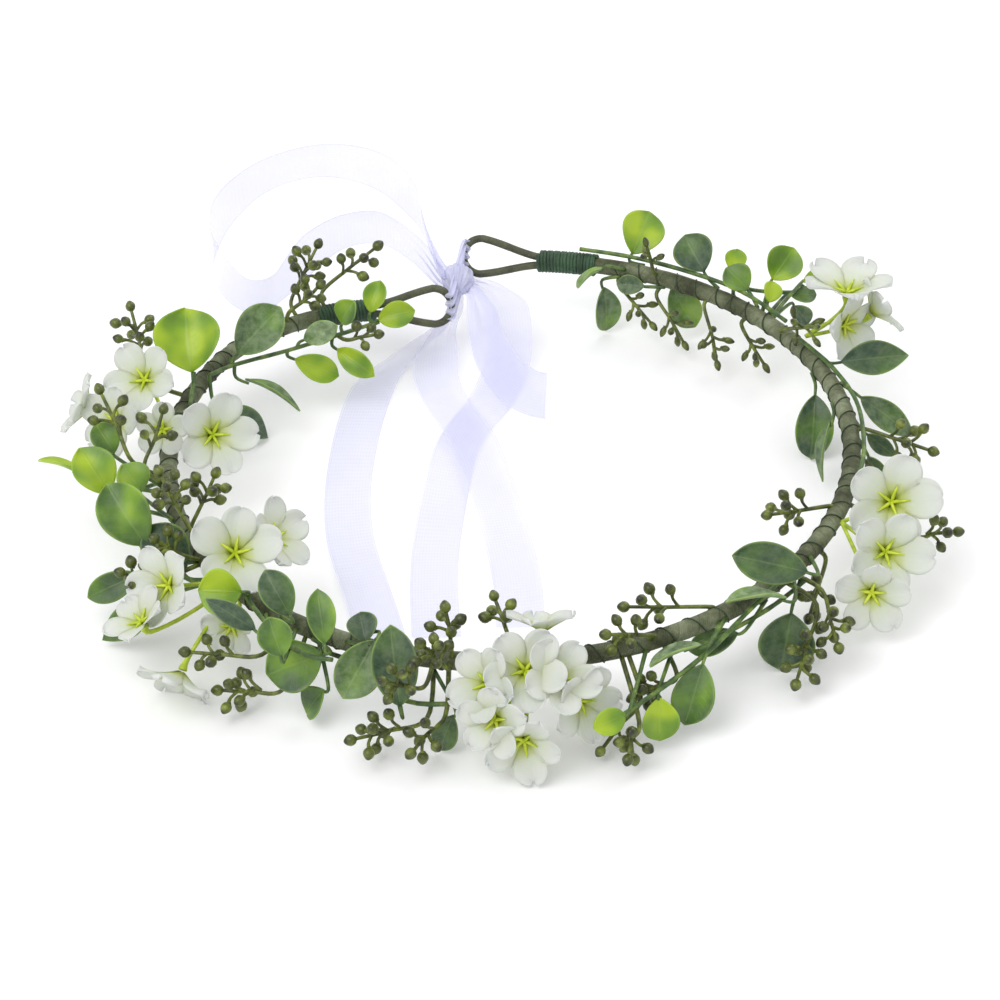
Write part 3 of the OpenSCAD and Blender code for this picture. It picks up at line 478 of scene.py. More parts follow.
def wound(line, radius, pitch, start, slack, steps_a_turn):
    """The points of a thread wound round a line, one turn every pitch metres. Start is where
    it begins, in degrees, and slack is how far it strays from even turns."""
    run = lengths(line)
    count = max(2, int(run[-1] / pitch * steps_a_turn))
    points, k = [], 0
    for i in range(count + 1):
        along = run[-1] * i / count
        while k < len(run) - 2 and run[k + 1] < along:
            k += 1
        share = (along - run[k]) / max(run[k + 1] - run[k], 1e-9)
        place = line[k].lerp(line[k + 1], share)
        ahead = (line[k + 1] - line[k]).normalized()
        out = upward(ahead)
        turn = 360 * i / steps_a_turn + start + slack * noise.noise(place * 90)
        points.append(place + turned(out, ahead, turn) * radius)
    return points


def stem_tape():
    """One run of tape over both halves: it bends where the ring flexes."""
    line = right_line + left_line[1:]
    radii = [STEM_R * (1 + 0.05 * noise.noise(p * 300) + 0.03 * noise.noise(p * 900)) for p in line]
    mesh = round_lines("stem_tape", [(line, radii)], 6)
    run = lengths(line)
    wrap = mesh.attributes.new("wrap", "FLOAT_VECTOR", "POINT")
    for i, vertex in enumerate(mesh.vertices):
        k = min(range(len(line)), key=lambda n: (line[n] - vertex.co).length_squared)
        ahead = ahead_of(line, k)
        up = upward(ahead)
        side = ahead.cross(up)
        away = (vertex.co - line[k]).normalized()
        wrap.data[i].vector = (run[k] / MM, away.dot(up), away.dot(side))
    tape = piece("stem_tape", mesh, TAPE,
                 ["stem_tape_left", "stem_tape_right", "core_wire_left", "core_wire_right"])
    flex = at((FLEX_AT, 0, 0))
    along = heading(FLEX_AT + 90, 0) * FLEX_REACH
    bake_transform(tape, "right_half", "left_half", start=flex + along, end=flex - along)


def binding(name, line, body, node):
    """The thin wire wound over the tape, with loose and tight stretches."""
    points = wound(line, STEM_R + 0.16 * MM, BINDER_PITCH, 40, 200, 16)
    mesh = round_lines(name, [(points, [BINDER_R] * len(points))], 1)
    piece(name, mesh, BINDER, [node], body)


def eye_line():
    """The wire eye's centre line in its own frame: +X out of the stem, +Y across."""
    near, far = LOOP_R + 0.05 * MM, LOOP_W / 2
    straight = LOOP_LEN - far
    first = -COLLAR_LEN / 4
    side = []
    for i in range(13):
        x = first + (straight - first) * i / 12
        open_by = max(0.0, x) / straight
        share = 0.4 * math.sin(math.radians(90 * open_by)) ** 2 + 0.6 * open_by
        side.append(Vector((x, near + (far - near) * share, 0)))
    end = [Vector((straight, 0, 0)) + turned(Vector((0, far, 0)), Vector((0, 0, -1)), 12 * k)
           for k in range(1, 15)]
    return side + end + [Vector((p.x, -p.y, 0)) for p in reversed(side)]


def rotation(degrees, axis):
    """A turn about an axis, as a 4 x 4 matrix."""
    return Matrix.Rotation(math.radians(degrees), 4, axis)


def right_end_frame():
    """The right wire eye's place: +X out of the stem, +Y across the eye."""
    facing = rotation(RIGHT_END + 90, "Z") @ rotation(-EYE_CLIMB, "Y") @ rotation(-LOOP_LEAN, "X")
    return Matrix.Translation(at((RIGHT_END, 0, 0))) @ facing


def left_end_frame():
    """The left wire eye's place, at the end of the drooping bend."""
    hub = at((ARM_AT, 0, 0))
    turn = rotation(ARM_DROOP, heading(ARM_AT, 0))
    bend = Matrix.Translation(hub) @ turn @ Matrix.Translation(at((ARM_AT, -ARM_R / MM, 0)) - hub)
    end = bend @ rotation(ARM_END, "Z") @ Matrix.Translation((ARM_R, 0, 0))
    return end @ rotation(-90, "Z") @ rotation(LOOP_LEAN, "X")


RIGHT_EYE, LEFT_EYE = right_end_frame(), left_end_frame()


def wire_eye(name, place, body):
    """A wire eye with its feet bound into the collar."""
    points = [place @ p for p in eye_line()]
    radii = [LOOP_R * (1 + 0.04 * noise.noise(p * 700)) for p in points]
    mesh = round_lines(name, [(points, radii)], 4)
    piece(name, mesh, LOOP_WIRE, [name], body)


def collar(name, line, body):
    """Thread wound close over the foot of the wire eye, two layers deep."""
    under = wound(line, STEM_R + 0.35 * MM, 1.0 * MM, 0, 0, 18)
    over = wound(list(reversed(line)), STEM_R + 0.65 * MM, 2.1 * MM, 90, 160, 18)
    lines = [(under, [0.6 * MM] * len(under)), (over, [0.26 * MM] * len(over))]
    piece(name, round_lines(name, lines, 1), THREAD, [name], body)


# ---------------------------------------------------------------- leaves
# A leaf is its stalk's place, its tip's place, its width, its roll and its look. Roll 0
# looks up. The looks: lime, green, dark, bloom (dusted grey), pale, teal.

LOOKS = {"lime": (0.8, 0.06), "green": (0.46, 0.2), "dark": (0.17, 0.3), "bloom": (0.3, 0.62),
         "pale": (0.5, 1.25), "teal": (0.06, 0.5)}

LEAVES = {
    "back_left": [
        ((121, -19, 0), (112, -24, 3), 8, 50, "lime"), ((122, -19, 2), (117, -15, 10), 7, 15, "lime"),
        ((129, -18, 2), (126, -20, 10), 8, 33, "green"), ((139, -15, 2), (133, -23, 7), 7, 56, "pale"),
        ((152, -5, 3), (141, -12, 14), 13, 39, "bloom"), ((142, -14, -1), (135, -25, -8), 8, 55, "lime"),
        ((133, -20, -1), (130, -34, -6), 7, 46, "lime"), ((153, -7, -1), (151, -26, -8), 8, -31, "bloom"),
        ((160, -5, -3), (154, -17, -18.6), 8, 50, "dark"), ((162, -1, 5), (154, 6, 20), 19, -6, "lime"),
    ],
    "left": [
        ((185, 13, 7), (182, 18, 15), 8, -21, "green"), ((193, 16, 4), (188, 22, 16), 12, -15, "lime"),
        ((186, 21, 2), (183, 34, 6), 7, 29, "lime"), ((195, 8, 6), (192, 12, 14), 10, -14, "green"),
        ((206, 12, 2), (198, 18, 17), 14, -32, "green"), ((210, 5, -4), (203.5, 11, 8), 13, -33, "dark"),
        ((205, 13, -4), (203, 29, -10), 8, -55, "green"), ((211, 13, -5), (208, 30, -16), 9, -50, "dark"),
    ],
    "front_left": [
        ((227, 6, 9), (222, 15, 10), 12, -54, "lime"), ((235, 5, 5), (229, 3, 16), 9, -25, "dark"),
        ((232, 11, 3), (225, 17, 12), 6, -44, "dark"), ((241, 4, -1), (234, 15, -6), 14, -52, "green"),
        ((238, 17, 3), (235, 14, 13), 9, -19, "green"), ((243, 12, 6), (240, 5, 19), 7.5, -1, "green"),
        ((247, 3, 3), (244, -3, 8), 8, -9, "dark"), ((242, 9, -8), (239, 12, -17), 9, -30, "green"),
        ((248, -1, 5), (245.5, 13, -7), 12, -36, "bloom"), ((254, 13, -9), (251, 4, 12), 12, -12, "dark"),
        ((261, 9, -8), (259, 13, -18.5), 7, -35, "dark"),
    ],
    "front_right": [
        ((284, 19, -4), (279, 22, -5), 7, -53, "lime"), ((289, 14, -4), (288, 19, -16), 10, -12, "lime"),
        ((297, 11, 0), (292, 17, -15), 11, -24, "green"), ((298, 10, 2), (289, 8, -1), 8, 27, "pale"),
        ((307, 4, -5), (299, -3, -10), 7, -50, "green"), ((313, 11, 3), (304, 2, 6), 9, 26, "pale"),
        ((316, 6, -4), (311, 10, -18.6), 15, -18, "dark"), ((318, 11, 6), (309, -5, 12), 11, -53, "dark"),
    ],
    "right": [
        ((17, -3, -2), (9, -8, -18.6), 11, -13, "dark"), ((6, -3, 0), (359, -8, -15), 7, 59, "bloom"),
        ((18, 2, 3), (16, 24, 3), 10, 50, "dark"), ((11, 4, 1), (7, 20, -12), 8, 53, "bloom"),
        ((3, 4, -3), (1, 13, -10), 5, 58, "dark"), ((357, 4, -3), (356, 8, -12), 6, 55, "dark"),
        ((345, 23, -7), (347, 17, -1), 5, -40, "green"),
    ],
    "back_right": [
        ((67, 2, 2), (66, 15, 12), 13, 29, "lime"), ((70, -4, 3), (75, -11, -1), 7, 30, "pale"),
        ((71, -4, -2), (70, -6, -18.6), 9, -9, "bloom"), ((62, -3, -2), (68, -5, -2), 6, -51, "bloom"),
        ((52, 3, 3), (58, 7, 12), 12, -30, "dark"), ((60, 3, -3), (54, 2, -15), 10, 37, "bloom"),
        ((49, 9, 2), (51, 15, 7), 6.5, 9, "lime"), ((43, 4, 3), (48, 3, 9), 9, -30, "green"),
        ((42, 10, 4), (42, 20, 12), 11, 38, "lime"), ((39, 4, 2), (41, 10, 6), 6, 31, "lime"),
        ((40, 19, 2), (40, 27, 2), 4, 49, "lime"), ((41, 15, -1), (39, 24, -3), 5, 56, "teal"),
        ((40, 15, -3), (38, 19, -10), 6, 59, "teal"),
    ],
}


PETIOLE = 0.12                     # the share of a leaf's length that is its stalk
SLIM_LEAF = 0.45                   # a leaf narrower than this share of its length is slim
LEAF_THICK = 0.55 * MM


def blade_half(s, slim):
    """Half the blade's width at s along it, as a share of the widest."""
    if slim:
        return math.sin(math.pi * s ** 0.9) ** 0.85
    return math.sin(math.pi * min(1.0, s) ** 1.15) ** 0.56


def leaf(shape, row):
    """One leaf: a grid drawn out into a cupped blade with a fold along its midrib."""
    foot, tip, width, roll, look = row
    a, b = at(foot), at(tip)
    along = (b - a).normalized()
    face = turned(upward(along), along, roll)
    across = face.cross(along)
    reach, half = (b - a).length, width * MM / 2
    slim = width * MM < SLIM_LEAF * reach
    own = wander(a, 1.0)
    layer = shape.verts.layers.float_color["look"]
    bright, bloom = LOOKS[look]
    grid = bmesh.ops.create_grid(shape, x_segments=10, y_segments=6, size=1.0, calc_uvs=True)
    for vertex in grid["verts"]:
        s, w = (vertex.co.x + 1) / 2, vertex.co.y
        u = PETIOLE + (1 - PETIOLE) * s
        open_by = blade_half(s, slim)
        side = w * half * open_by
        lift = reach * 0.06 * math.sin(math.pi * u) + 0.34 * half * w * w * open_by
        lift += 0.05 * half * abs(w) ** 0.5 + 0.5 * half * own.x * w * s * s * 0.5
        lift -= reach * 0.07 * s * s * (0.6 + own.y)
        ruffle = 0.05 * half * math.sin(7 * s + 9 * own.z) * w
        sway = side + 0.03 * reach * own.z * s
        vertex.co = a + along * (reach * u) + across * sway + face * (lift + ruffle)
        vertex.co.z = max(vertex.co.z, LOWEST_LEAF)
        vertex[layer] = (bright + 0.12 * own.x, max(0.0, bloom + 0.1 * own.y), own.z, 1.0)


def leaves(name, rows, body):
    """One group of leaves, with a wall's thickness and rounded off."""
    shape = bmesh.new()
    shape.loops.layers.uv.new("blade")
    shape.verts.layers.float_color.new("look")
    for row in rows:
        leaf(shape, row)
    bmesh.ops.remove_doubles(shape, verts=shape.verts, dist=0.02 * MM)
    made = piece("leaves_" + name, shape, LEAF, ["leaves_" + name])
    skin = made.modifiers.new("thickness", "SOLIDIFY")
    skin.thickness, skin.offset = LEAF_THICK, 0
    round_off = made.modifiers.new("smooth", "SUBSURF")
    round_off.levels = round_off.render_levels = 1
    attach(made, body)


# ---------------------------------------------------------------- leaf stems

STEMS = {
    "back_left": [
        ((158, -3, 3.6), (152, -6, 2), (142, -14, 1), (132, -19, 1), (120, -20, 0)),
        ((168, -3, 3.6), (162, -1, 4.5), (160, 0, 6)),
    ],
    "left": [
        ((184, 3, -3.6), (189, 12, 1), (186, 21, 1)),
        ((222, 3, -3.6), (214, 6, -1), (206, 12, 1), (193, 16, 3)),
    ],
    "front_left": [
        ((224, 3, 3.6), (232, 8, 3), (239, 12, 3), (244, 12, 4)),
        ((236, 2, -4), (246, 3, -4), (254, 9, -7), (262, 9, -6)),
    ],
    "front_right": [
        ((318, 3, 3.6), (308, 5, 2.5), (298, 10, 0), (290, 14, -3), (283, 18, -6)),
        ((322, 3, -3.6), (314, 3, -3.6), (305, 3, -3.6), (296, 3, -3.6)),
    ],
    "right": [
        ((26, -1, 4.2), (16, 1, 4.2), (6, 3, 3.6), (356, 3, 3.6), (348, 3, 3.6), (341, 2, 3.8)),
        ((344, 4, -1), (346, 14, -6), (345, 23, -7)),
    ],
    "back_right": [
        ((76, 1, 4.4), (66, 1, 4.2), (55, 1, 4.2), (44, 2, 4), (32, 1, 4)),
        ((48, 3, 3), (43, 8, 2), (40, 17, 0), (40, 20, 1)),
    ],
}
# how far round the ring each leaf's stem starts from its foot, in degrees; the group that is
# not named here starts from its sprig stems
SIDE_STEP = {"left": 4, "front_left": -4, "front_right": 6, "right": 3, "back_right": -3}


def nearest(place, line):
    """The point of a line that is nearest to a place."""
    return min(line, key=lambda p: (p - place).length_squared)


def leaf_stems(name, body):
    """The sprig stems bound along the ring, each leaf's side stem and its petiole."""
    lines, along_stems = [], []
    for route in STEMS[name]:
        points = through([at(p) for p in route], 5)
        along_stems += points
        lines.append((points, [0.62 * MM * (1 + 0.15 * noise.noise(p * 800)) for p in points]))
    back = SIDE_STEP.get(name)
    for foot, tip, *_ in LEAVES[name]:
        start, end = at(foot), at(tip)
        if back:
            away = (heading(foot[0], 0) * foot[1] + Vector((0, 0, foot[2]))).normalized()
            root = at((foot[0] + back, 0, 0)) + away * STEM_R
        else:
            root = nearest(start, along_stems)
        points = through([root, start, start.lerp(end, 0.2)], 5 if back else 4)
        lines.append((points, [0.6 * MM - 0.25 * MM * k / len(points) for k in range(len(points))]))
    name = "leaf_stems_" + name
    piece(name, round_lines(name, lines, 2), STALK, [name], body)


# ---------------------------------------------------------------- berry sprays
# A spray is its foot's place, its head's place, the number of side berries, its spread.

BERRIES = {
    "back_left": [
        ((131, 1, 3), (125, 3, 13), 8, 5.5), ((125, -1, 3), (115.5, -2, 11), 5, 5),
        ((134, -4, 4), (130, -7, 9), 6, 4.5), ((131, -22, 1), (127, -28, 3), 3, 3.5),
        ((163, 12, 5), (157, 20, 16), 8, 5.5),
    ],
    "left": [
        ((187, 9, 8), (181, 15, 20), 5, 5.5), ((189, 6, 8), (185, 1, 17), 3, 5.5),
        ((209, 2, 8), (204, 5, 20), 7, 5.2), ((203, -2, 5), (201, -8, 12), 7, 5),
        ((210, 6, 4), (209, 10, 8), 5, 4.5), ((210, 15, -1), (209, 20, 2), 4, 4.2),
    ],
    "front_left": [
        ((232, 12, -3), (225.5, 22, -2), 5, 4), ((236, 13, -10), (229.5, 19, -12), 8, 5),
        ((257, 11, 0), (254, 19, 7), 6, 4.5), ((260, 6, 2), (257.5, 8, 9), 6, 4.5),
        ((260, 1, 3), (259, -3, 10), 5, 4.5), ((257, 10, -11), (250, 20, -11), 8, 4.8),
        ((260, 13, -7), (257.5, 22, -9), 5, 4.5),
    ],
    "front_right": [
        ((269, -3, 3), (267, -10, 9), 5, 4.2), ((287, 11, -8), (281.5, 17, -14), 4, 4.2),
        ((293, 9, -6), (288, 9, -8), 6, 4.2), ((291, 3, 4), (285, 4, 8), 5, 4.5),
        ((285.5, 18, -9), (283.5, 24, -11.5), 5, 4.2), ((303, -2, 2), (292, -9, 4), 6, 5.5),
        ((318, 11, -4), (309.5, 19, -12), 8, 4.5), ((320, 10, -2), (316.5, 19, -8), 7, 4.5),
    ],
    "right": [
        ((328, 3, -4), (320, 7, -9), 5, 4.2), ((337, -2, 2), (331, -12, 3), 7, 5.5),
        ((0, 4, 1), (356, 18, 0), 7, 5.5), ((341, 19, -8), (342, 27, -7), 4, 4.5),
        ((355, 4, -4), (353, 12, -12), 4, 4.5),
    ],
    "back_right": [
        ((31, -2, 3), (21, -2, 13), 5, 5), ((68, -3, -3), (61, -8, -9), 5, 4.5),
        ((60, -4, -4), (53, -9, -11), 5, 4.5), ((50, -3, -3), (43.5, -10, -11), 6, 4.8),
        ((41, -3, -3), (36, -3, -10), 5, 4.5), ((61, -3, 4), (62, -3, 10), 3, 3.5),
    ],
}


# a side twig's radius from the main one to its berry, in millimetres
TWIG_R = (0.5, 0.46, 0.42, 0.42, 0.46, 0.6, 0.85)


def twig_ends(row):
    """Where each side twig leaves the main one, where its berry sits, and the head berry."""
    foot, head, count, spread = row
    a, b = at(foot), at(head)
    along = (b - a).normalized()
    pairs = []
    for i in range(count):
        root = a.lerp(b, 0.45 + 0.5 * i / count)
        out = turned(upward(along), along, GOLDEN * i)
        reach = spread * MM * (0.9 + 0.1 * math.cos(math.radians(200 * i)))
        pairs.append((root, root + out * reach + along * spread * MM * 0.5))
    return a, b + along * (spread * MM * 0.5 + BERRY_R * 0.8), along, pairs


def berry(shape, place, facing, size, girth):
    """One berry: a small ball drawn to a blunt point, with a darker tip. Girth 1 is a
    round berry and less is a slender bud."""
    tip = shape.verts.layers.float["tip"]
    ball = bmesh.ops.create_uvsphere(shape, u_segments=10, v_segments=7, radius=1.0)
    turn = facing.to_track_quat("Z", "Y").to_matrix()
    for vertex in ball["verts"]:
        z = vertex.co.z
        vertex[tip] = 0.3 * max(0.0, z - 0.55) / 0.45 + 0.15 * max(0.0, -z - 0.6)
        waist = girth * (1 - 0.16 * max(0.0, z) ** 2)
        local = Vector((vertex.co.x * waist, vertex.co.y * waist, z * 1.06 + 0.16 * max(0.0, z) ** 5))
        vertex.co = place + turn @ (local * size)


def berry_spray(name, rows, body):
    """One group of sprays: all its berries, then all its twigs."""
    shape = bmesh.new()
    shape.verts.layers.float.new("tip")
    lines = []
    for row in rows:
        start, top, along, pairs = twig_ends(row)
        bow = wander(start, 0.8 * MM)
        core = nearest(start, left_line if body == "left_half" else right_line)
        root = core + (start - core).normalized() * STEM_R * 0.8
        main = through([root, start, start.lerp(top, 0.5) + bow, top - along * BERRY_R * 0.7], 6)
        lines.append((main, [0.66 * MM - 0.2 * MM * k / len(main) for k in range(len(main))]))
        for root, end in pairs + [(top - along * BERRY_R * 2, top)]:
            facing = (end - root).normalized()
            size = BERRY_R * (0.93 + 0.12 * noise.noise(end * 500))
            berry(shape, end, facing, size, 0.66 if name == "back_right" else 1.0)
            if end is not top:
                elbow = root.lerp(end, 0.45) + along * 0.5 * MM
                side = through([root + bow * 0.5, elbow, end - facing * size * 0.8], 3)
                lines.append((side, [r * MM for r in TWIG_R]))
    piece("berries_" + name, shape, BERRY, ["berries_" + name], body)
    name = "berry_twigs_" + name
    piece(name, round_lines(name, lines, 1), TWIG, [name], body)


# ---------------------------------------------------------------- blossom
# A floret is its place, the heading and climb that it faces, its diameter and its spin.

FLORETS = {
    "back_left": [
        ((168, 9, 11), 250, 50, 18, 10), ((175, 14, 6), 230, 30, 17, 40), ((179, -12, 6), 300, 30, 20, 0),
        ((172, 23, 6), 175, 25, 16, 20), ((179, 1, 8), 270, 40, 13, 30),
    ],
    "front_left": [
        ((218, -2, 9), 280, 45, 20, 18), ((215, -16, 4), 340, 40, 17, 0), ((215, 15, 4), 225, 30, 18, 10),
        ((223, 24, -10), 240, -35, 17, 30), ((224, 8, -3), 250, 10, 13, 50),
        ((216, 25, -2), 190, 60, 15, 0),
    ],
    "front": [
        ((274, 2, 11), 90, 60, 15, 18), ((271, 11, 6), 270, 45, 18, 0), ((266, 12, 3), 235, 35, 16, 20),
        ((267, 18, -3), 245, 20, 16, 40), ((275, 12, 4), 300, 45, 17, 54),
        ((270.5, 20, -8), 265, 0, 17, 10), ((278, 13, -3), 305, 15, 17, 0),
    ],
    "right": [
        ((338, 14, 6), 268, 38, 22, 18), ((331, 17, 0), 285, 30, 19, 0), ((326, 18, -6), 270, 10, 17, 30),
    ],
    "back_right": [
        ((26, 14, 14), 60, 80, 21, 0), ((24, 11, 7), 315, 10, 17, 30), ((24, 20, 8), 20, 30, 16, 10),
    ],
}
FEET = {"back_left": (175, 0, 3.2), "front_left": (220, 0, 3.2), "front": (272, 3, 1.5),
        "right": (334, 3, 1.5), "back_right": (27, 2, 3)}
PETAL_REACH = 1.1                  # a petal's length as a share of the floret's radius
PETAL_HALF_W = 0.44                # half a petal's width as a share of its length
WIDEST_AT = 0.6                    # where a petal is widest, as a share of its length
PETAL_THICK = 0.22 * MM


def throat_rise(share, reach):
    """How far a petal has risen above the floret's centre at that share of its length."""
    return 0.36 * reach * (1 - (1 - share) ** 2)


def petal(shape, place, turn, reach, tilt, own):
    """One petal: a grid drawn into a rounded blade that dishes up."""
    grid = bmesh.ops.create_grid(shape, x_segments=9, y_segments=8, size=1.0, calc_uvs=True)
    spin = Matrix.Rotation(math.radians(turn), 3, "Z") @ Matrix.Rotation(math.radians(tilt), 3, "X")
    for vertex in grid["verts"]:
        u, w = (vertex.co.x + 1) / 2, vertex.co.y
        u = math.sin(u * math.pi / 2)
        if u < WIDEST_AT:
            wide = 0.2 + 0.8 * math.sin(math.pi / 2 * u / WIDEST_AT) ** 1.2
        else:
            beyond = (u - WIDEST_AT) / (1 - WIDEST_AT)
            wide = 0.12 + 0.88 * math.sqrt(max(0.0, 1 - beyond ** 2))
        x = reach * (0.05 + u)
        dish = throat_rise(u, reach)
        wavy = 0.03 * math.sin(5 * w + own.x * 9)
        curl = reach * (0.17 * w * w * u + wavy * u * u - 0.16 * own.y * u * u)
        vertex.co = place @ (spin @ Vector((x, w * reach * PETAL_HALF_W * wide, dish + curl)))
        vertex.co.z = max(vertex.co.z, LOWEST_PETAL)


def blossom(name, body):
    """One cluster of florets: all its petals, its stalks and its throat stars."""
    shape = bmesh.new()
    shape.loops.layers.uv.new("petal")
    stalks, rays = [], []
    for place, yaw, climb, across, spin in FLORETS[name]:
        facing = rotation(yaw, "Z") @ rotation(90 - climb, "Y") @ rotation(spin, "Z")
        set_down = Matrix.Translation(at(place)) @ facing
        for k in range(5):
            own = wander(at(place) + Vector((k * 0.013, 0, 0)), 1.0)
            reach = across * MM / 2 * PETAL_REACH * (1 + 0.12 * own.x)
            turn = 72 * k + 7 * own.z
            petal(shape, set_down, turn, reach, 9 * own.y, own)
            ray = [Vector((reach * u, 0, throat_rise(u, reach) + 0.3 * MM)) for u in (0.0, 0.12, 0.24, 0.4)]
            ray = [set_down @ turned(p, Vector((0, 0, 1)), turn) for p in ray]
            rays.append((ray, [0.5 * MM, 0.5 * MM, 0.36 * MM, 0.1 * MM]))
        ahead = heading(yaw, climb)
        back = at(place) - ahead * 3.6 * MM
        root = at(FEET[name])
        dip = root.lerp(back, 0.6) - ahead * 1.2 * MM
        points = through([root, dip, back, at(place) - ahead * 0.5 * MM], 4)
        radii = [0.55 * MM] * (len(points) - 5) + [0.65 * MM, 0.85 * MM, 1.1 * MM, 1.2 * MM, 1.1 * MM]
        stalks.append((points, radii))
    made = piece("petals_" + name, shape, PETAL, ["petals_" + name])
    skin = made.modifiers.new("thickness", "SOLIDIFY")
    skin.thickness, skin.offset = PETAL_THICK, 0
    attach(made, body)
    stalk, star = "flower_stalks_" + name, "throat_stars_" + name
    piece(stalk, round_lines(stalk, stalks, 2), PEDICEL, [stalk], body)
    piece(star, round_lines(star, rays, 1), THROAT, ["flower_centres_" + name], body)


# ---------------------------------------------------------------- ribbon
# A ribbon row is x and y from the knot in millimetres, up as a share of the knot's height, the
# direction across the ribbon as a heading and a climb, and how much of its width is open.

TAIL_LEFT = [
    (-2, -3, 0.59, 60, 0, 0.3), (-4, -5, 0.43, 50, 0, 0.55), (-9, -9, 0.26, 35, 0, 0.85),
    (-16, -15, 0.14, 25, 0, 0.85), (-24, -26, 0.04, 10, 0, 0.85), (-29, -48, 0, -6, 0, 0.85),
    (-31.5, -76, 0, -2, 0, 0.85), (-30.5, -100, 0, 6, 0, 0.85), (-26, -122, 0, 16, 0, 0.85),
    (-23, -136, 0, 14, 0, 0.85), (-21, -148, 0, 12, 0, 0.85),
]
TAIL_MIDDLE = [
    (4.8, 2, 0.85, 0, 30, 0.3), (9, 2, 0.68, 0, 15, 0.6), (13, -1.5, 0.54, 0, 5, 0.85),
    (14.5, -9, 0.4, -3, 0, 0.85), (14, -20, 0.16, -8, 0, 0.85), (9, -36, 0.03, -20, 0, 0.85),
    (2, -50, 0, -28, 0, 0.85), (-2, -62, 0, -22, 0, 0.85), (-5, -82, 0, -12, 0, 0.85),
    (-7.5, -106, 0, -6, 0, 0.85), (-8, -124, 0, 0, 0, 0.85), (-7.5, -143, 0, 0, 0, 0.85),
]
TAIL_RIGHT = [
    (-1, -5.2, 0.57, 20, 0, 0.35), (-5, -10, 0.34, 20, 0, 0.6), (-7, -18, 0.18, 10, 0, 0.85),
    (-7, -28, 0.13, 0, 0, 0.85), (-4, -40, 0.12, 20, 0, 0.85), (0, -50, 0.12, 22, 0, 0.85),
    (3.5, -60, 0.12, 20, 0, 0.85), (7, -76, 0.11, 14, 0, 0.85), (10, -92, 0.1, 10, 0, 0.85),
    (12.5, -108, 0.05, 8, 0, 0.85), (14, -122, 0.01, 4, 0, 0.85), (14.5, -140, 0, 0, 0, 0.85),
]
BOW_LEFT = [
    (-4.6, 2.5, 1.1, 0, 90, 0.35), (-8, 14, 1.25, 0, 90, 0.7), (-12, 32, 1.4, 0, 90, 0.85),
    (-23, 49, 1.45, 0, 90, 0.85), (-40, 58, 1.4, 0, 90, 0.85), (-57, 56, 1.25, 0, 90, 0.85),
    (-69, 46, 1, 0, 90, 0.85), (-73, 32, 0.8, 0, 90, 0.85), (-70, 18, 0.65, 0, 90, 0.85),
    (-63, 8, 0.55, 0, 90, 0.85), (-56, 8, 0.55, 0, 90, 0.85), (-50, 16, 0.65, 0, 90, 0.85),
    (-43, 24, 0.8, 0, 90, 0.85), (-33, 30, 0.95, 0, 90, 0.85), (-22, 28, 1.05, 0, 90, 0.85),
    (-12, 15, 1.05, 0, 90, 0.6), (-4.8, -1, 1, 0, 90, 0.35),
]
BOW_RIGHT = [
    (4.2, -3.6, 0.88, 34, 38, 0.3), (5.6, -9, 0.76, 32, 38, 0.55), (7.2, -16, 0.61, 30, 38, 0.8),
    (9, -25, 0.52, 36, 38, 0.85), (14, -37, 0.43, 50, 44, 0.85), (19, -44, 0.44, 65, 50, 0.85),
    (24, -47, 0.45, 79, 54, 0.85),
]


def ribbon_line(rows):
    """The ribbon's middle, and the direction across it with its open share as its length."""
    rest = 0.3 * MM
    centres = [Vector((KNOT.x + x * MM, KNOT.y + y * MM, rest + up * (KNOT.z - rest)))
               for x, y, up, *_ in rows]
    acrosses = [heading(yaw, climb) * spread for *_, yaw, climb, spread in rows]
    return through(centres, ROW_STEPS), through(acrosses, ROW_STEPS)


def cloth_grid(columns, rows):
    """A bmesh with a grid to be laid as ribbon, -1 to 1 each way, and the grid's vertices."""
    shape = bmesh.new()
    shape.loops.layers.uv.new("cloth")
    grid = bmesh.ops.create_grid(shape, x_segments=columns, y_segments=rows, size=1.0, calc_uvs=True)
    return shape, grid["verts"]


def gathered(name, shape, material, length):
    """A ribbon piece put in the scene. The flat length of ribbon that it is made of is given but not used."""
    made = piece(name, shape, material, [name])
    return made


def ribbon(name, rows, pleats, flutter, material, returns):
    """A length of ribbon: a grid laid along its rows, pleated where it is gathered. It
    starts inside the knot, and ends there too where it returns."""
    x, y, up, yaw, climb, _ = rows[0]
    inside = (INSIDE * x, INSIDE * y, 1 + INSIDE * (up - 1), yaw, climb, 0.22)
    rows = [inside] + rows + ([inside] if returns else [])
    centres, acrosses = ribbon_line(rows)
    last = len(centres) - 1
    shape, vertices = cloth_grid(last, 14)
    for vertex in vertices:
        k, v = round((vertex.co.x + 1) / 2 * last), vertex.co.y
        across = acrosses[k]
        square = ahead_of(centres, k).cross(across).normalized()
        closed = max(0.0, 1 - across.length / LAID_SHARE)
        fold = PLEAT * closed * math.sin(math.pi * pleats * v + 0.8)
        wave = flutter * math.sin(0.55 * k / ROW_STEPS * math.pi + 1.3 * v) * v * v
        place = centres[k] + across * (RIBBON_W * 0.5 * v) + square * (fold + wave)
        place.z = max(place.z, LOWEST_RIBBON)
        vertex.co = place
    return gathered(name, shape, material, lengths(centres)[-1])


KNOT_R, KNOT_HALF = 4.4, 5.2       # the knot's radius and half its length, in millimetres


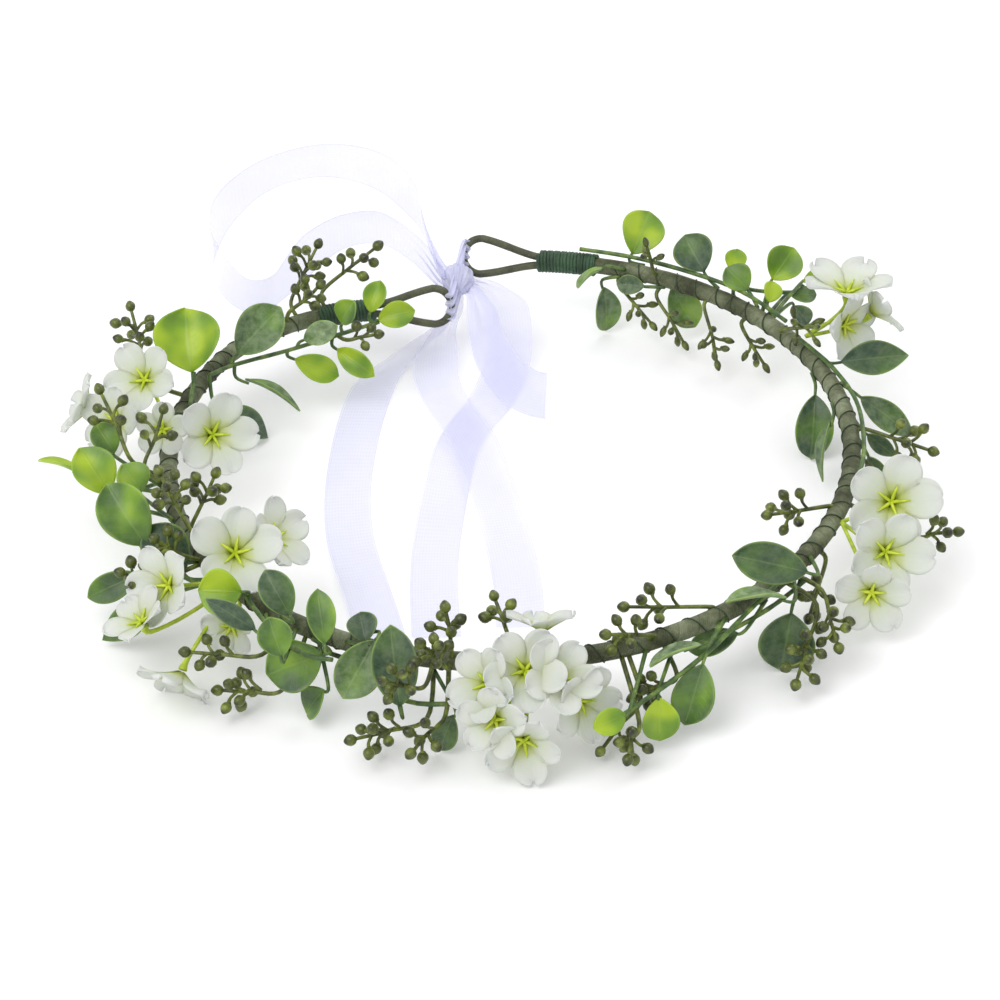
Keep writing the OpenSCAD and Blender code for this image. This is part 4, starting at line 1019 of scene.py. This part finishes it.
def knot():
    """The knot: ribbon drawn round the bow in tight pleats, as a pinched barrel."""
    tip = Vector((LOOP_LEN + LOOP_R, 0, 0))
    axis = (RIGHT_EYE @ tip - LEFT_EYE @ tip).normalized()
    turn = axis.to_track_quat("Z", "Y").to_matrix()
    shape = bmesh.new()
    shape.loops.layers.uv.new("cloth")
    ball = bmesh.ops.create_uvsphere(shape, u_segments=96, v_segments=24, radius=1.0, calc_uvs=True)
    for vertex in ball["verts"]:
        p = vertex.co.copy()
        angle = math.atan2(p.y, p.x)
        pinch = 1 - abs(p.z) ** 4 * 0.25
        pleats = 0.09 * math.sin(9 * angle + 3 * p.z) * (1 - p.z * p.z) ** 0.25
        crimp = 1 + pleats + 0.05 * math.sin(23 * angle - 2 * p.z)
        girth = pinch * crimp * KNOT_R
        vertex.co = KNOT + turn @ (Vector((p.x * girth, p.y * girth, p.z * KNOT_HALF)) * MM)
    made = piece("ribbon_knot_gathered", shape, ORGANZA_GATHERED, ["ribbon_knot"])
    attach(made, "right_half")


def sling(name, place):
    """The gathered turn of ribbon that leaves the knot, passes round a wire eye's end and
    comes back: narrow at the eye, fanned a little at the knot."""
    inner = place.inverted() @ KNOT
    r = LOOP_R + 0.5 * MM
    end, up = Vector((LOOP_LEN, 0, 0)), Vector((0, 0, 1))
    middle = [inner + up * 1.5 * MM, (end + up * r).lerp(inner, 0.5) + up * 0.8 * MM]
    middle += [end + turned(up * r, Vector((0, -1, 0)), 22.5 * k) for k in range(9)]
    middle += [(end - up * r).lerp(inner, 0.5) - up * 0.8 * MM, inner - up * 1.5 * MM]
    middle = through(middle, 3)
    last = len(middle) - 1
    shape, vertices = cloth_grid(last, 26)
    for vertex in vertices:
        k, v = round((vertex.co.x + 1) / 2 * last), vertex.co.y
        square = ahead_of(middle, k).cross(Vector((0, 1, 0))).normalized()
        near_knot = abs(2 * k / last - 1)
        swell = (4.0 + 0.8 * near_knot) * MM
        pleat = (0.35 + 0.7 * near_knot) * MM * math.sin(11 * v + 2 * near_knot)
        vertex.co = place @ (middle[k] + Vector((0, v * swell, 0)) - square * pleat)
    return gathered(name, shape, ORGANZA_GATHERED, lengths(middle)[-1])


# ---------------------------------------------------------------- the crown, from the wire out

BODY = {"back_left": "left_half", "left": "left_half", "front_left": "left_half",
        "front_right": "right_half", "right": "right_half", "back_right": "right_half", "front": "right_half"}

stem_tape()
binding("binding_wire_right_wound", right_line[8:-4], "right_half", "binding_wire_right")
binding("binding_wire_left_wound", left_line[4:-10], "left_half", "binding_wire_left")
wire_eye("wire_loop_right", RIGHT_EYE, "right_half")
wire_eye("wire_loop_left", LEFT_EYE, "left_half")
collar("collar_right", ring_line(RIGHT_END - collar_turn, RIGHT_END, 20), "right_half")
collar("collar_left", bend_line(ARM_END + arm_collar_turn, ARM_END, 20), "left_half")
for group in LEAVES:
    leaves(group, LEAVES[group], BODY[group])
    leaf_stems(group, BODY[group])
    berry_spray(group, BERRIES[group], BODY[group])
for group in FLORETS:
    blossom(group, BODY[group])

knot()
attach(sling("ribbon_sling_right", RIGHT_EYE), "right_half")
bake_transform(sling("ribbon_sling_left", LEFT_EYE), "right_half", "left_half", start=KNOT,
         end=LEFT_EYE @ Vector((LOOP_LEN, 0, 0)))

# A ribbon's name, rows, pleats, flutter in millimetres, cloth and whether it comes back to the
# knot. Then the body it moves with, and the places from the knot, in millimetres, where it
# starts to and where it fully does.
RIBBONS = [
    ("ribbon_tail_left", TAIL_LEFT, 3, 0.5, ORGANZA, False, "tail_left", (0, -3, 0), (0, -12, 0)),
    ("ribbon_tail_middle", TAIL_MIDDLE, 3, 0.5, ORGANZA, False, "tail_middle", (0, 2, 0), (0, -9, 0)),
    ("ribbon_tail_right", TAIL_RIGHT, 3, 0.6, ORGANZA, False, "tail_right", (0, -4, 0), (0, -13, 0)),
    ("bow_loop_left", BOW_LEFT, 3, 1.2, ORGANZA_BOW, True, "bow_left", (-4, 0, 0), (-12, 20, 0)),
    ("bow_loop_right", BOW_RIGHT, 2, 0.6, ORGANZA_DOUBLED, False, "bow_right", (4, -2, 0), (7, -13, 0)),
]
for name, rows, pleats, flutter, cloth, returns, body, start, end in RIBBONS:
    made = ribbon(name, rows, pleats, flutter * MM, cloth, returns)
    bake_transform(made, "right_half", body, start=KNOT + Vector(start) * MM, end=KNOT + Vector(end) * MM)

# ---------------------------------------------------------------- floor, light and camera


def floor_paper():
    """Matt white paper under the crown."""
    made, tree = finish_of("floor_white_paper")
    spot = add(tree, "TexCoord").outputs["Object"]
    grain = add(tree, "TexNoise", {"Vector": spot, "Scale": 40, "Detail": 3})
    colour = shaded(add(tree, "ValToRGB", {0: grain}), [(0.3, "#F6F6F7"), (0.7, "#F9F9FA")])
    surface = add(tree, "BsdfPrincipled", {
        "Base Color": colour, "Roughness": 0.9, "Specular IOR Level": 0.1})
    add(tree, "OutputMaterial", {"Surface": surface})
    return made


def stage():
    """The floor, just below the crown's lowest points."""
    shape = bmesh.new()
    bmesh.ops.create_grid(shape, x_segments=1, y_segments=1, size=6.0)
    bmesh.ops.translate(shape, verts=shape.verts, vec=(0, 0, -0.3 * MM))
    floor = bpy.data.objects.new("floor", from_bmesh("floor", shape))
    floor.data.materials.append(floor_paper())
    bpy.context.scene.collection.objects.link(floor)


def area_light(name, place, aim, size, watts):
    """A round soft lamp at a place, facing another."""
    lamp = bpy.data.lights.new(name, "AREA")
    lamp.shape, lamp.size, lamp.energy = "DISK", size, watts
    made = bpy.data.objects.new(name, lamp)
    made.location = place
    made.rotation_euler = (Vector(aim) - Vector(place)).to_track_quat("-Z", "Y").to_euler()
    bpy.context.scene.collection.objects.link(made)


def studio():
    """A white room with a soft key lamp from the front left and a weaker one behind."""
    world = bpy.data.worlds.new("white_room")
    world.use_nodes = True
    sky = world.node_tree.nodes["Background"]
    sky.inputs["Color"].default_value = linear("#FFFFFF")
    sky.inputs["Strength"].default_value = 0.9
    bpy.context.scene.world = world
    area_light("key", (-0.5, -0.5, 1.0), (0, 0, 0.02), 0.9, 6.0)
    area_light("rim", (0.5, 0.7, 0.8), (0, 0, 0.02), 0.7, 3.0)
    bpy.context.scene.view_settings.view_transform = "Standard"


def camera():
    """A long lens, 36 degrees above the table in front of the crown, tipped 2 degrees."""
    lens = bpy.data.cameras.new("camera")
    lens.sensor_width, lens.lens = 36, 121.4
    lens.shift_x, lens.shift_y = -0.0096, -0.0549
    lens.clip_start, lens.clip_end = 0.01, 20
    climb, roll = math.radians(35.72), math.radians(-2.08)
    back = Vector((0, -math.cos(climb), math.sin(climb)))
    right, up = Vector((1, 0, 0)), Vector((0, math.sin(climb), math.cos(climb)))
    tipped_right = right * math.cos(roll) + up * math.sin(roll)
    tipped_up = up * math.cos(roll) - right * math.sin(roll)
    place = Vector((0, 0, STEM_H)) + back * 0.9099
    made = bpy.data.objects.new("camera", lens)
    facing = Matrix((tipped_right, tipped_up, back)).transposed().to_4x4()
    made.matrix_world = Matrix.Translation(place) @ facing
    bpy.context.scene.collection.objects.link(made)
    bpy.context.scene.camera = made


stage()
studio()
camera()
